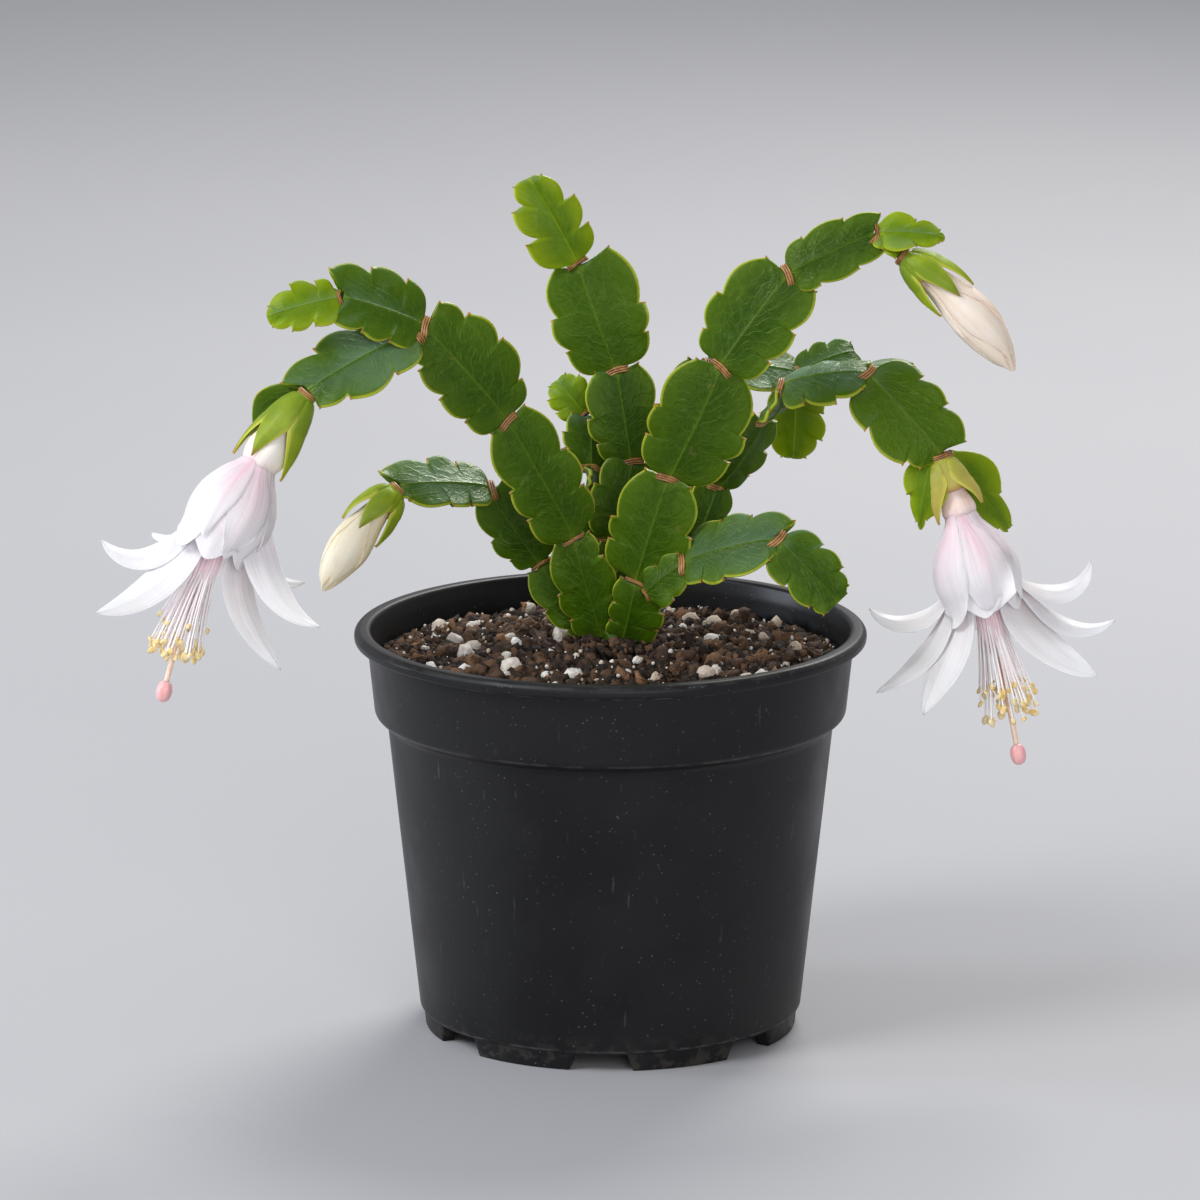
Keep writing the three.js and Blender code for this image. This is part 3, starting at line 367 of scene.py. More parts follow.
def build_pot():
    """The pot turned round its axis, with the gaps in its foot ring."""
    angles = pot_angles()
    outline = rounded_outline(POT_CORNERS)
    points, faces = revolved(outline, angles)
    for number, (x, y, z) in enumerate(points):
        if math.hypot(x, y) > FOOT_INNER_RADIUS - 1 and z < GAP_HEIGHT:
            points[number] = (x, y, max(z, foot_lift(math.atan2(y, x))))
    return mesh_object("nursery_pot", points, faces, pot_plastic(), smooth_angle=POT_CREASE)


nursery_pot = build_pot()
drill_drain_holes(nursery_pot)
nursery_pot.data.set_sharp_from_angle(angle=math.radians(POT_CREASE))
dress(nursery_pot, "pot")


# Potting mix
# The mix is peat crumbs, composted bark chips and white perlite, poured in loose and pressed down
# by hand. It fills the pot to a low mound round the plant and is lower against the wall.

SOIL_EDGE_HEIGHT = 87.5
SOIL_MOUND = 3.2
SOIL_LUMP = 1.1
SOIL_RADIUS = 54.2
SOIL_SHAPE = [(43.0, FLOOR_TOP + 0.3), (50.5, BAND_FOOT - 2.1), (53.5, BAND_FOOT)]
SOIL_SIDES = 96
SOIL_RINGS = 26
BANK_SIDES = 24
# Radius of the bank's rings and their height over the mix
BANK_RINGS = [(3.0, 1.6), (7.5, 1.4), (11.5, 0)]
FULL_TURN = 6.28


def soil_height(x, y):
    """Height of the mix: a low mound with lumps, flatter against the wall."""
    share = math.hypot(x, y) / 56.3
    lumps = math.sin(0.31 * x + 1.3) * math.cos(0.27 * y) + 0.6 * math.sin(0.55 * y - 0.4 * x)
    return SOIL_EDGE_HEIGHT + SOIL_MOUND * (1 - share ** 2) + SOIL_LUMP * lumps * (1 - share ** 6)


def mix_finish(name, colours, scale, roughness, bump_height, speck=None):
    """A rough earthy finish: two colours in patches, pale or dark specks, and a crumbly relief."""
    finish = Finish(name, {"Roughness": roughness})
    finish.two_tone(colours[0], colours[1], finish.patches(scale))
    finish.tint(colours[2], finish.ramp(finish.mark("tone"), 0.45, 1, 0.0, 0.9))
    if speck:
        finish.tint(speck, finish.patches(scale * 4, 0.6, 0.68))
    finish.relief(finish.noise(finish.place, scale * 4.0, Detail=6.0), 1.0, bump_height)
    return finish.done()


peat = mix_finish(
    "dark peat", [(0.009, 0.005, 0.003), (0.036, 0.018, 0.009), (0.16, 0.080, 0.038)],
    260, 0.9, 1.0, speck=(0.12, 0.070, 0.04))
bark = mix_finish(
    "composted bark", [(0.020, 0.010, 0.005), (0.085, 0.041, 0.019), (0.33, 0.165, 0.075)],
    300, 0.85, 0.8, speck=(0.03, 0.016, 0.01))
perlite = mix_finish(
    "white perlite", [(0.60, 0.54, 0.47), (0.86, 0.84, 0.80), (0.56, 0.43, 0.31)],
    420, 0.9, 0.6)


def build_soil():
    """The body of the mix, with a finely uneven top."""
    top = [(SOIL_RADIUS * (1 - k / SOIL_RINGS), None) for k in range(SOIL_RINGS)]
    outline = [(0, SOIL_SHAPE[0][1]), *SOIL_SHAPE, *top, (0, 0)]
    points, faces = revolved(outline, turns(SOIL_SIDES))
    chance = random.Random(4)
    for number, (x, y, z) in enumerate(points):
        if z is None or number == len(points) - 1:
            points[number] = (x, y, soil_height(x, y) - 0.6 + chance.uniform(-0.35, 0.35))
    return mesh_object("potting_mix", points, faces, peat)


def draw(nodes, low, high, seed):
    """A random vector or number for each point or grain."""
    if isinstance(low, tuple):
        return nodes.out("FunctionNodeRandomValue", {0: low, 1: high, "Seed": seed},
                         data_type="FLOAT_VECTOR")
    return nodes.out("FunctionNodeRandomValue", {2: low, 3: high, "Seed": seed}, 1,
                     data_type="FLOAT")


def scaled(nodes, vector, factor):
    return nodes.out("ShaderNodeVectorMath", {0: vector, "Scale": factor}, operation="SCALE")


def unevened(nodes, grains, scale, detail, push):
    """Makes the instances real and moves each point a little, by noise."""
    loose = nodes.out("GeometryNodeRealizeInstances", {"Geometry": grains})
    where = nodes.out("GeometryNodeInputPosition")
    rough = nodes.out("ShaderNodeTexNoise", {"Vector": where, "Scale": scale, "Detail": detail},
                      "Color")
    centred = nodes.out("ShaderNodeVectorMath", {0: rough, 1: (0.5, 0.5, 0.5)},
                        operation="SUBTRACT")
    return nodes.out("GeometryNodeSetPosition", {
        "Geometry": loose, "Offset": scaled(nodes, centred, push * MM)})


def run_tree(piece, tree, sizes):
    """Runs a geometry tree on a piece, with its inputs by name, and keeps the plain mesh."""
    run = piece.modifiers.new(piece.name, "NODES")
    run.node_group = tree
    for socket in tree.interface.items_tree:
        if socket.in_out == "INPUT" and socket.name in sizes:
            run[socket.identifier] = sizes[socket.name]
    plain_mesh(piece)
    piece.data.shade_smooth()


def scatter_tree(name, base_shape, material, flat, roughness):
    """Grains strewn over a surface: points by density, a grain on each, made uneven by noise."""
    nodes, give, take = new_group(name, "GeometryNodeTree", {
        "Ground": None, "Density": 1e5, "Spacing": 0.002, "Smallest": 0.5, "Largest": 1.2,
        "Size": 0.002, "Sink": 0.0, "Seed": 1}, "Grains")
    seed = give["Seed"]
    upward = nodes.out("ShaderNodeSeparateXYZ", {0: nodes.out("GeometryNodeInputNormal")}, "Z")
    on_top = nodes.out("FunctionNodeCompare", {0: upward, 1: 0.35}, operation="GREATER_THAN")
    points = nodes.out("GeometryNodeDistributePointsOnFaces", {
        "Mesh": give["Ground"], "Selection": on_top, "Distance Min": give["Spacing"],
        "Density Max": give["Density"], "Seed": seed}, distribute_method="POISSON")
    turn = draw(nodes, (0, 0, 0), (flat * FULL_TURN, flat * FULL_TURN, FULL_TURN), seed)
    size = draw(nodes, give["Smallest"], give["Largest"], seed)
    shape = draw(nodes, (0.6, 0.6, 0.45), (1.3, 1.1, 1.0), 7)
    if base_shape == "chip":
        grain = nodes.out("GeometryNodeMeshCube", {
            "Size": (1.2, 0.8, 0.45), "Vertices X": 4, "Vertices Y": 3, "Vertices Z": 2})
    else:
        grain = nodes.out("GeometryNodeMeshIcoSphere", {"Radius": 0.5, "Subdivisions": base_shape})
    strewn = nodes.out("GeometryNodeInstanceOnPoints", {
        "Points": points, "Instance": grain, "Rotation": turn,
        "Scale": scaled(nodes, scaled(nodes, shape, size), give["Size"])})
    drop = nodes.out("ShaderNodeCombineXYZ", {"Z": give["Sink"]})
    sunk = nodes.out("GeometryNodeTranslateInstances", {
        "Instances": strewn, "Translation": drop, "Local Space": False})
    toned = nodes.out("GeometryNodeStoreNamedAttribute", {
        "Geometry": sunk, "Name": "tone", "Value": draw(nodes, 0.0, 1.0, 3)},
        domain="INSTANCE", data_type="FLOAT")
    uneven = unevened(nodes, toned, 620.0, 3.0, roughness)
    dressed = nodes.out("GeometryNodeSetMaterial", {"Geometry": uneven, "Material": material})
    nodes.feed(take, dressed)
    return nodes.tree


def strew(name, ground, base_shape, material, flat, roughness, **sizes):
    """Grains over the ground, as a plain mesh."""
    grains = add_object(name, ground.data.copy())
    tree = scatter_tree(name + " scatter", base_shape, material, flat, roughness)
    run_tree(grains, tree, sizes)
    dress(grains)


def crown_bank():
    """A narrow bank of crumbs pressed up round the foot of the plant."""
    sides = BANK_SIDES
    points = [(0.5 + radius * math.cos(a), -0.5 + radius * math.sin(a), soil_height(0, 0) + rise)
              for radius, rise in BANK_RINGS for a in turns(sides)]
    faces = [(row * sides + k, (row + 1) * sides + k,
              (row + 1) * sides + (k + 1) % sides, row * sides + (k + 1) % sides)
             for row in range(len(BANK_RINGS) - 1) for k in range(sides)]
    return mesh_object("bank", points, faces, peat)


potting_mix = build_soil()
dress(potting_mix, "soil")
strew("peat_crumbs", potting_mix, 1, peat, 1, 3.2, Density=7.5e5, Spacing=0.00115,
      Smallest=0.35, Largest=1.7, Size=0.0025, Sink=0.0, Seed=11)
strew("bark_chips", potting_mix, "chip", bark, 0.5, 4.2, Density=1.9e4, Spacing=0.0050,
      Smallest=0.45, Largest=1.2, Size=0.0042, Sink=0.0006, Seed=5)
strew("perlite_grains", potting_mix, 2, perlite, 1, 2.2, Density=1.6e4, Spacing=0.0058,
      Smallest=0.3, Largest=1.35, Size=0.0042, Sink=0.0009, Seed=21)
strew("perlite_dust", potting_mix, 1, perlite, 1, 0.5, Density=4.5e4, Spacing=0.0022,
      Smallest=0.3, Largest=1.1, Size=0.0012, Sink=0.0013, Seed=33)
bank = crown_bank()
strew("bank_crumbs", bank, 1, peat, 1, 3.2, Density=9e5, Spacing=0.0012,
      Smallest=0.5, Largest=1.5, Size=0.0022, Sink=0.0, Seed=12)
bpy.data.objects.remove(bank)


# Bark fibres
# A tuft of torn pale bark lies on the mix at the front right, among the perlite. It is a loose
# piece of the mix that pressing down left on top.

TUFT_AT = (13.0, -35.0)
FIBRES = 46


def ring_faces(rows, around):
    """Faces between rows of points that run round a form, with a cap at either end."""
    faces = []
    for row in range(rows - 1):
        for k in range(around):
            a, b = row * around + k, row * around + (k + 1) % around
            faces.append((a, b, b + around, a + around))
    faces.append(tuple(range(around - 1, -1, -1)))
    faces.append(tuple((rows - 1) * around + k for k in range(around)))
    return faces


def tube(points, radii, sides=6, squash=1.0):
    """Points and faces of a closed round tube that follows a path of points, in millimetres."""
    made = []
    side = None
    for number, point in enumerate(points):
        before = points[max(0, number - 1)]
        after = points[min(len(points) - 1, number + 1)]
        along = (after - before).normalized()
        if side is None:
            side = along.cross(Vector((0.3, 0.2, 1)) if abs(along.z) < 0.9 else Vector((1, 0, 0)))
        side = (side - along * side.dot(along)).normalized()
        other = along.cross(side)
        for angle in turns(sides):
            reach = side * math.cos(angle) + other * math.sin(angle) * squash
            made.append(point + reach * radii[number])
    return made, ring_faces(len(points), sides)


def join_shapes(shapes):
    """Several shapes' points and faces as one."""
    points, faces = [], []
    for shape in shapes:
        faces += [tuple(v + len(points) for v in face) for face in shape[1]]
        points += shape[0]
    return points, faces


def build_tuft():
    """A loose tuft of bent, flat fibres, each thin at its end."""
    chance = random.Random(8)
    shapes = []
    for _ in range(FIBRES):
        x = TUFT_AT[0] + chance.gauss(0, 1.3)
        y = TUFT_AT[1] + chance.gauss(0, 0.9)
        base = Vector((x, y, soil_height(x, y) + chance.uniform(0.4, 2.6)))
        lean = Vector((chance.gauss(0.35, 0.5), chance.gauss(0, 0.35), chance.gauss(-0.15, 0.3)))
        bend = Vector((chance.gauss(0, 0.6), chance.gauss(0, 0.6), chance.gauss(0.2, 0.5)))
        length = chance.uniform(2.2, 5.2)
        path = [base + lean * (length * t) + bend * (2.2 * t * t) for t in (0, 0.25, 0.5, 0.75, 1)]
        wide = chance.uniform(0.16, 0.42)
        shapes.append(tube(path, [wide, wide * 1.2, wide, wide * 0.7, 0.05], 5, 0.4))
    points, faces = join_shapes(shapes)
    return mesh_object("bark_fibres", points, faces, bark)


dress(build_tuft())


# Stems
# The stems are chains of flat leaf-like segments, fleshy along the middle and thin at the scalloped
# margins. Each segment has grown out of the last one's end, with a corky brown collar at the joint.

FRONT = Vector((0, -1, 0.23)).normalized()
JOINT_HALF_WIDTH = 2.8
COLLAR_HALF_WIDTH = 2.7
RIB_HALF_THICKNESS = 1.5
EDGE_HALF_THICKNESS = 0.4
TOOTH_LENGTH = 0.6
LOBE_STEPS = 9
# How far a lobe bows out, as a share of its chord: the first one of a margin and the others
FIRST_BOW = 0.25
LOBE_BOW = 0.19
# A segment with a tip narrower than this ends freely, without a joint
FREE_TIP = 2.2
# Half thickness of a margin and of a tooth at its very edge
MARGIN_EDGE = 0.12
TOOTH_EDGE = 0.06
TEETH = [0.28, 0.62, 1.02]
TWO_TEETH = [0.5, 1.02]
# Columns across half a segment: share of the way out to the margin, thickness between rib and edge
COLUMNS = [(0, 1.0), (0.03, 0.90), (0.07, 0.84), (0.16, 0.76), (0.30, 0.66), (0.46, 0.54),
           (0.62, 0.42), (0.77, 0.30), (0.88, 0.20), (0.95, 0.06), (1.0, -0.35)]
COLLAR_HALF_DEPTH = 1.35
COLLAR_RINGS = 3
RING_ROWS = 6
COLLAR_SIDES = 30
STEM_CREASE = 55
STEM_MARKS = ("tone", "margin", "along", "across", "tooth")


def margin(length, half, teeth, foot, horn, tip, notch, bulge, chance):
    """One margin of a segment as (out, along, tooth) points, from the collar to the joint."""
    def width(share):
        if share >= teeth[-1]:
            return horn
        return half * max(0.3, math.sin(math.pi * min(0.97, 0.1 + 0.78 * share))) ** 0.55

    size = min(1, half / 9)
    row = [(JOINT_HALF_WIDTH * 0.75, foot, 0.0), (JOINT_HALF_WIDTH * 0.98, foot + 1.0, 0.0)]
    out, along = row[-1][:2]
    for number, share in enumerate(teeth):
        end_out, end_along = width(share), share * length
        chord = math.hypot(end_out - out, end_along - along)
        bow = chord * (LOBE_BOW * bulge if number else FIRST_BOW) * chance.uniform(0.9, 1.1)
        square_out, square_along = (end_along - along) / chord, (out - end_out) / chord
        for step in range(1, LOBE_STEPS + 1):
            part = step / LOBE_STEPS
            arc = bow * math.sin(math.pi * part) ** 0.85
            row.append((out + (end_out - out) * part + square_out * arc,
                        along + (end_along - along) * part + square_along * arc, 0.0))
        tooth = TOOTH_LENGTH * chance.uniform(0.8, 1.3) * (0.5 + 0.5 * size)
        row.append((end_out + tooth * 0.22, end_along + tooth * 0.45, 0.5))
        row.append((end_out + tooth * 0.26, end_along + tooth * 0.95, 1.0))
        if number < len(teeth) - 1:
            row.append((end_out - 0.5 * size, end_along + tooth * 0.55, 0.5))
            out, along = end_out - notch * size, end_along + 0.35
            row.append((out, along, 0.0))
    reach = row[-1][1]
    row.append((row[-1][0] - 0.6, reach - 0.5 * TOOTH_LENGTH, 0.3))
    if tip < FREE_TIP:
        out, along = row[-1][:2]
        bow = 0.1 * math.hypot(out - 0.25 * tip, length + 0.1 - along)
        for part in (0.15, 0.3, 0.45, 0.6, 0.75, 0.9, 1.0):
            arc = bow * math.sin(math.pi * part)
            row.append((out + (0.25 * tip - out) * part + arc,
                        along + (length + 0.1 - along) * part + arc, 0.0))
        return row
    row.append(((row[-1][0] + tip) / 2, length + (reach - length) * 0.42, 0.0))
    row.append((tip + 0.9, length + 0.2 * max(0, reach - length), 0.0))
    row.append((tip, length, 0.0))
    return row


def even_rows(row, count):
    """The margin's points spread over a count of rows, keeping each of its own corners."""
    while len(row) < count:
        gaps = [(math.dist(row[k][:2], row[k + 1][:2]), k) for k in range(len(row) - 1)]
        _, k = max(gaps)
        row.insert(k + 1, tuple((a + b) / 2 for a, b in zip(row[k], row[k + 1])))
    return row


class Leaf:
    """The frame of one segment: where a place across, along and out of it lies."""

    def __init__(self, start, end, turn, fold):
        self.start = Vector(start)
        self.axis = Vector(end) - self.start
        self.length = self.axis.length
        self.axis.normalize()
        normal = (FRONT - self.axis * FRONT.dot(self.axis)).normalized()
        angle = math.radians(turn)
        across = self.axis.cross(normal)
        self.normal = (normal * math.cos(angle) + across * math.sin(angle)).normalized()
        self.side = self.axis.cross(self.normal)
        self.fold = fold

    def place(self, out, along, lift, half):
        share = min(1, max(0, along / self.length))
        rise = 4 * share * (1 - share) + self.fold * (out / half) ** 2 + lift
        return self.start + self.side * out + self.axis * along + self.normal * rise


def segment_shape(start, end, halves, left, right, turn, chance, gap=0.0, tip=2.8, horn=None,
                  fold=0.8, notch=1.6, bulge=1.0, sun=0.0):
    """One segment's points, faces and per-point numbers, and the frame it stands in."""
    horns = horn or [0.6 * half for half in halves]
    direction = (Vector(end) - Vector(start)).normalized()
    leaf = Leaf(Vector(start) + direction * gap, end, turn, fold)
    foot = 0.0 if gap else -0.7
    sides = [margin(leaf.length, halves[k], teeth, foot, horns[k], tip, notch, bulge, chance)
             for k, teeth in enumerate((left, right))]
    count = max(len(side) for side in sides)
    sides = [even_rows(side, count) for side in sides]
    # The tone is random, shifted for some segments: below 0 the flesh gets painted shade, above 1
    # painted light
    tone = chance.random() + sun
    wave = [chance.uniform(-1, 1) for _ in range(4)]
    points, faces, marks = [], [], []
    columns = [(-share, thin) for share, thin in reversed(COLUMNS[1:])] + COLUMNS
    across = len(columns)
    for row in range(count):
        along_rib = leaf.length * (row / (count - 1))
        along_share = along_rib / leaf.length
        ease = min(1, 0.35 + min(along_share, 1 - along_share) * 5)
        for face in (1, -1):
            for share, thin in columns:
                out_edge, along_edge, tooth = sides[0 if share < 0 else 1][row]
                part = abs(share)
                along = along_rib + (along_edge - along_rib) * part ** 0.8
                out = out_edge * part * (1 if share >= 0 else -1)
                high = EDGE_HALF_THICKNESS + (RIB_HALF_THICKNESS - EDGE_HALF_THICKNESS) * thin
                if part < 0.02:
                    high += 0.14 * (1 - along_share)
                if part == 1:
                    high = TOOTH_EDGE if tooth > 0.3 else MARGIN_EDGE
                high = max(TOOTH_EDGE, high * (0.55 + 0.45 * ease))
                ripple = 0.30 * part * part * math.sin(
                    2 * math.pi * (along_share * 2.3 + wave[0] + 0.3 * wave[1] * (share > 0)))
                ripple += 0.14 * part * math.sin(
                    2 * math.pi * (along_share * 4.4 + wave[2] + share))
                points.append(leaf.place(out, along, face * high + ripple, max(halves)))
                marks.append((tone, part, along_share, share, tooth if part > 0.93 else 0.0))

    def at(row, face, column):
        return (row * 2 + face) * across + column

    for row in range(count - 1):
        for column in range(across - 1):
            for face, order in ((0, 1), (1, -1)):
                quad = (at(row, face, column), at(row, face, column + 1),
                        at(row + 1, face, column + 1), at(row + 1, face, column))
                faces.append(quad[::order])
        for column, order in ((0, 1), (across - 1, -1)):
            quad = (at(row, 0, column), at(row + 1, 0, column),
                    at(row + 1, 1, column), at(row, 1, column))
            faces.append(quad[::order])
    for row, order in ((0, 1), (count - 1, -1)):
        loop = [at(row, 0, c) for c in range(across)]
        loop += [at(row, 1, c) for c in reversed(range(across))]
        faces.append(tuple(loop[::-order]))
    return points, faces, marks, leaf


def collar_shape(leaf, gap, chance, half):
    """The corky collar round a joint: an oval band of three fine rings."""
    low, high = (0.05 if gap else -0.8), 0.9
    rows = COLLAR_RINGS * RING_ROWS + 1
    points, marks = [], []
    lean = chance.uniform(-0.08, 0.08)
    tone = chance.random()
    first = leaf.place(0, low, 0, half)
    for step in range(rows):
        part = step / (rows - 1)
        along = low + (high - low) * part
        ring = abs(math.sin(math.pi * part * COLLAR_RINGS)) ** 0.7
        swell = math.sin(math.pi * (0.16 + 0.68 * part)) ** 0.5
        wide = half * (0.90 + 0.10 * swell) + 0.24 * ring
        deep = COLLAR_HALF_DEPTH * (0.76 + 0.24 * swell) + 0.24 * ring
        for angle in turns(COLLAR_SIDES):
            cos, sin = math.cos(angle), math.sin(angle)
            out = wide * math.copysign(abs(cos) ** 0.75, cos)
            up = deep * math.copysign(abs(sin) ** 0.85, sin)
            jag = 0.05 * math.sin(5 * angle + 9 * along) - 0.45 * (out / half) ** 2
            points.append(first + leaf.side * out + leaf.normal * up
                          + leaf.axis * (along - low + lean * out + jag))
            marks.append((tone, 0.5, ring, 0, 0))
    return points, ring_faces(rows, COLLAR_SIDES), marks


def vein_group():
    """Fine branching veins as 0 to 1, from a surface's own width and length."""
    nodes, give, take = new_group("branching veins", "ShaderNodeTree", {
        "Across": 0.0, "Along": 0.0, "Place": (0, 0, 0), "Slant": 0.6, "Count": 9.0}, "Veins")
    drift = nodes.noise(give["Place"], 150.0, Detail=2.0)
    wander = nodes.times(nodes.maths("SUBTRACT", drift, 0.5), 0.42)
    bowed = nodes.maths("POWER", nodes.maths("ABSOLUTE", give["Across"]), 0.8)
    slanted = nodes.maths("SUBTRACT", give["Along"], nodes.times(bowed, give["Slant"]))
    phase = nodes.times(nodes.maths("ADD", slanted, wander), give["Count"])
    stripe = nodes.maths("ABSOLUTE", nodes.maths("SUBTRACT", nodes.maths("FRACT", phase), 0.5))
    net = nodes.out("ShaderNodeTexVoronoi", {"Vector": give["Place"], "Scale": 330.0}, "Distance",
                    feature="DISTANCE_TO_EDGE")
    both = nodes.maths("MAXIMUM", nodes.ramp(stripe, 0.13, 0.0),
                       nodes.ramp(net, 0.10, 0.0, 0.0, 0.5))
    nodes.feed(take, both)
    return nodes.tree


branching_veins = vein_group()


def stem_flesh(name, deep, fresh, light, pale, young):
    """Waxy green flesh: pale rib and veins, a thin bright margin, small brown tooth tips, and
    painted sheen, light and shade.
    """
    flesh = Finish(name, {
        "Roughness": 0.42, "Specular IOR Level": 0.26, "Specular Tint": (0.86, 0.97, 0.5),
        "Subsurface Weight": 0.18, "Subsurface Radius": (0.0020, 0.0032, 0.0006),
        "Subsurface Scale": 0.55})
    tone, out, along, across, tooth = (flesh.mark(label) for label in STEM_MARKS)
    fine = 0.35 if young else 1.0
    flesh.two_tone(deep, fresh, flesh.times(flesh.patches(34, 0.3, 0.7), 0.6))
    flesh.tint(fresh, flesh.ramp(tone, 0.0, 1.0, 0.0, 0.35))
    # Tone below 0 is painted shade, tone above 1 is painted light
    flesh.tint(deep, flesh.ramp(tone, 0.0, -1.0, 0.0, 0.75))
    flesh.tint(light, flesh.ramp(out, 0.35, 1.0, 0.0, 0.85))
    flesh.tint(light, flesh.ramp(tone, 1.0, 2.0, 0.0, 0.75))
    flesh.tint(pale, flesh.patches(620, 0.4, 0.62), 0.06)
    veins = flesh.out("ShaderNodeGroup", {
        "Across": across, "Along": along, "Place": flesh.place, "Slant": 0.42, "Count": 8.0},
        node_tree=branching_veins)
    vein = flesh.times(veins, flesh.ramp(out, 0.98, 0.55))
    flesh.tint(pale, vein, 0.15 * fine)
    ends = flesh.maths("MAXIMUM", flesh.ramp(along, 0.16, 0.0), flesh.ramp(along, 0.90, 1.0))
    flesh.tint(pale, flesh.times(ends, flesh.ramp(out, 0.7, 0.1)), 0.65)
    flesh.tint(pale, flesh.ramp(out, 0.050, 0.012), 0.28)
    # The thin yellow-green rim: partly the margin's own colour, partly a painted highlight where
    # the thick edge catches light
    flesh.tint((0.46, 0.48, 0.04), flesh.ramp(out, 0.935, 0.985), 0.75)
    flesh.tint((0.20, 0.14, 0.05), flesh.patches(240, 0.69, 0.73), 0.08 if young else 0.3)
    flesh.tint((0.42, 0.15, 0.03), flesh.ramp(tooth, 0.3, 0.8))
    # Painted sheen: a bluish tint on up-facing faces, less where the tone paints shade, and a
    # little less rough there
    normal = flesh.out("ShaderNodeTexCoord", output="Normal")
    upright = flesh.ramp(flesh.out("ShaderNodeSeparateXYZ", {"Vector": normal}, "Z"), 0.5, 0.95)
    painted_sheen = flesh.times(upright, flesh.patches(70, 0.25, 0.6))
    painted_sheen = flesh.times(painted_sheen, flesh.ramp(tone, -0.8, 0.0))
    flesh.tint((0.17, 0.28, 0.20), painted_sheen, 0.5)
    crinkle = flesh.noise(flesh.place, 400.0, Detail=3.0, Distortion=0.9)
    flesh.relief(flesh.maths("ADD", flesh.times(crinkle, 0.9 * fine),
                             flesh.times(vein, 0.28 * fine)), 0.6, 0.5)
    rough = flesh.ramp(flesh.patches(180), 0, 1, 0.38, 0.50)
    return flesh.done(flesh.maths("SUBTRACT", rough, flesh.times(painted_sheen, 0.12)))


def collar_cork():
    """Dry brown collar: streaky, paler on its ridges, a little shiny."""
    bark_skin = Finish("corky joint collar", {"Roughness": 0.36})
    bark_skin.two_tone((0.27, 0.115, 0.034), (0.46, 0.235, 0.075), bark_skin.patches(420))
    groove = bark_skin.ramp(bark_skin.mark("along"), 0.75, 0.2, 0.0, 0.85)
    bark_skin.tint((0.085, 0.034, 0.012), groove)
    bark_skin.tint((0.56, 0.36, 0.15), bark_skin.patches(1500, 0.55, 0.68), 0.3)
    bark_skin.relief(bark_skin.noise(bark_skin.place, 1300.0, Detail=3.0), 0.5, 0.15)
    return bark_skin.done()


old_flesh = stem_flesh("old stem flesh", (0.016, 0.053, 0.0012), (0.042, 0.104, 0.0018),
                       (0.068, 0.138, 0.0020), (0.145, 0.235, 0.014), False)
young_flesh = stem_flesh("young stem flesh", (0.056, 0.128, 0.0015), (0.155, 0.268, 0.0015),
                         (0.26, 0.355, 0.002), (0.34, 0.44, 0.015), True)
cork = collar_cork()


def marked_object(name, shapes, materials, labels, smooth_angle=50):
    """One piece from shapes of points, faces, per-point numbers and the number of a material."""
    piece = mesh_object(name, *join_shapes(shapes), materials[0], smooth_angle)
    mesh = piece.data
    for material in materials[1:]:
        mesh.materials.append(material)
    finish = [shape[3] if len(shape) > 3 else 0 for shape in shapes for _ in shape[1]]
    mesh.polygons.foreach_set("material_index", finish)
    marks = [numbers for shape in shapes for numbers in shape[2]]
    for number, label in enumerate(labels):
        layer = mesh.attributes.new(label, "FLOAT", "POINT")
        layer.data.foreach_set("value", [mark[number] for mark in marks])
    return piece


def grow(name, node, seed, segments, young=False, extra=()):
    """A chain of segments with their collars as one piece: flesh first, cork second.

    Each segment is its start, its end, two half widths, the places of its teeth left and right as
    shares of its length, its turn to the side in degrees and what else is its own."""
    chance = random.Random(seed)
    shapes = []
    for start, end, halves, left, right, turn, *rest in segments:
        options = dict(rest[0]) if rest else {}
        collar_half = options.pop("collar", COLLAR_HALF_WIDTH)
        *shape, leaf = segment_shape(start, end, halves, left, right, turn, chance, **options)
        shapes.append(shape)
        if collar_half:
            shapes.append((*collar_shape(leaf, options.get("gap"), chance, collar_half), 1))
    materials = (young_flesh if young else old_flesh, cork)
    piece = marked_object(name, [*shapes, *extra], materials, STEM_MARKS, STEM_CREASE)
    dress(piece, node)


# Crown
# The woody foot of the plant sits in the middle of the mix. Its short old trunk swells into a
# knuckle, from which the lowest green segments grow, and most of it is buried.

TRUNK_AT = (0.5, 1)
# Height, half width and half depth of the trunk, from its buried foot up
TRUNK_ROWS = [(78, 2.1, 2.1), (84.5, 2.5, 2.6), (90.7, 2.7, 3.2), (92.8, 3.6, 6), (94.4, 3.6, 6),
              (95.8, 2.4, 4.4)]
TRUNK_SIDES = 28
TRUNK_FINE_ROWS = 6


def trunk_shape():
    """The trunk and its knuckle: smooth rows between the given ones, with lumps and creases."""
    rows = [tuple(a + (b - a) * k / TRUNK_FINE_ROWS for a, b in zip(low, high))
            for low, high in zip(TRUNK_ROWS, TRUNK_ROWS[1:]) for k in range(TRUNK_FINE_ROWS)]
    rows.append(TRUNK_ROWS[-1])
    points = []
    for height, half_x, half_y in rows:
        for angle in turns(TRUNK_SIDES):
            lump = 1 + 0.08 * math.sin(3 * angle + height)
            lump += 0.05 * math.sin(7 * angle - 2.2 * height)
            lump += 0.04 * math.sin(3.1 * height + 2 * math.sin(2 * angle))
            points.append(Vector((TRUNK_AT[0] + half_x * lump * math.cos(angle),
                                  TRUNK_AT[1] + half_y * lump * math.sin(angle), height)))
    return points, ring_faces(len(rows), TRUNK_SIDES), [(0.1, 0.3, 0.5, 0, 0)] * len(points)


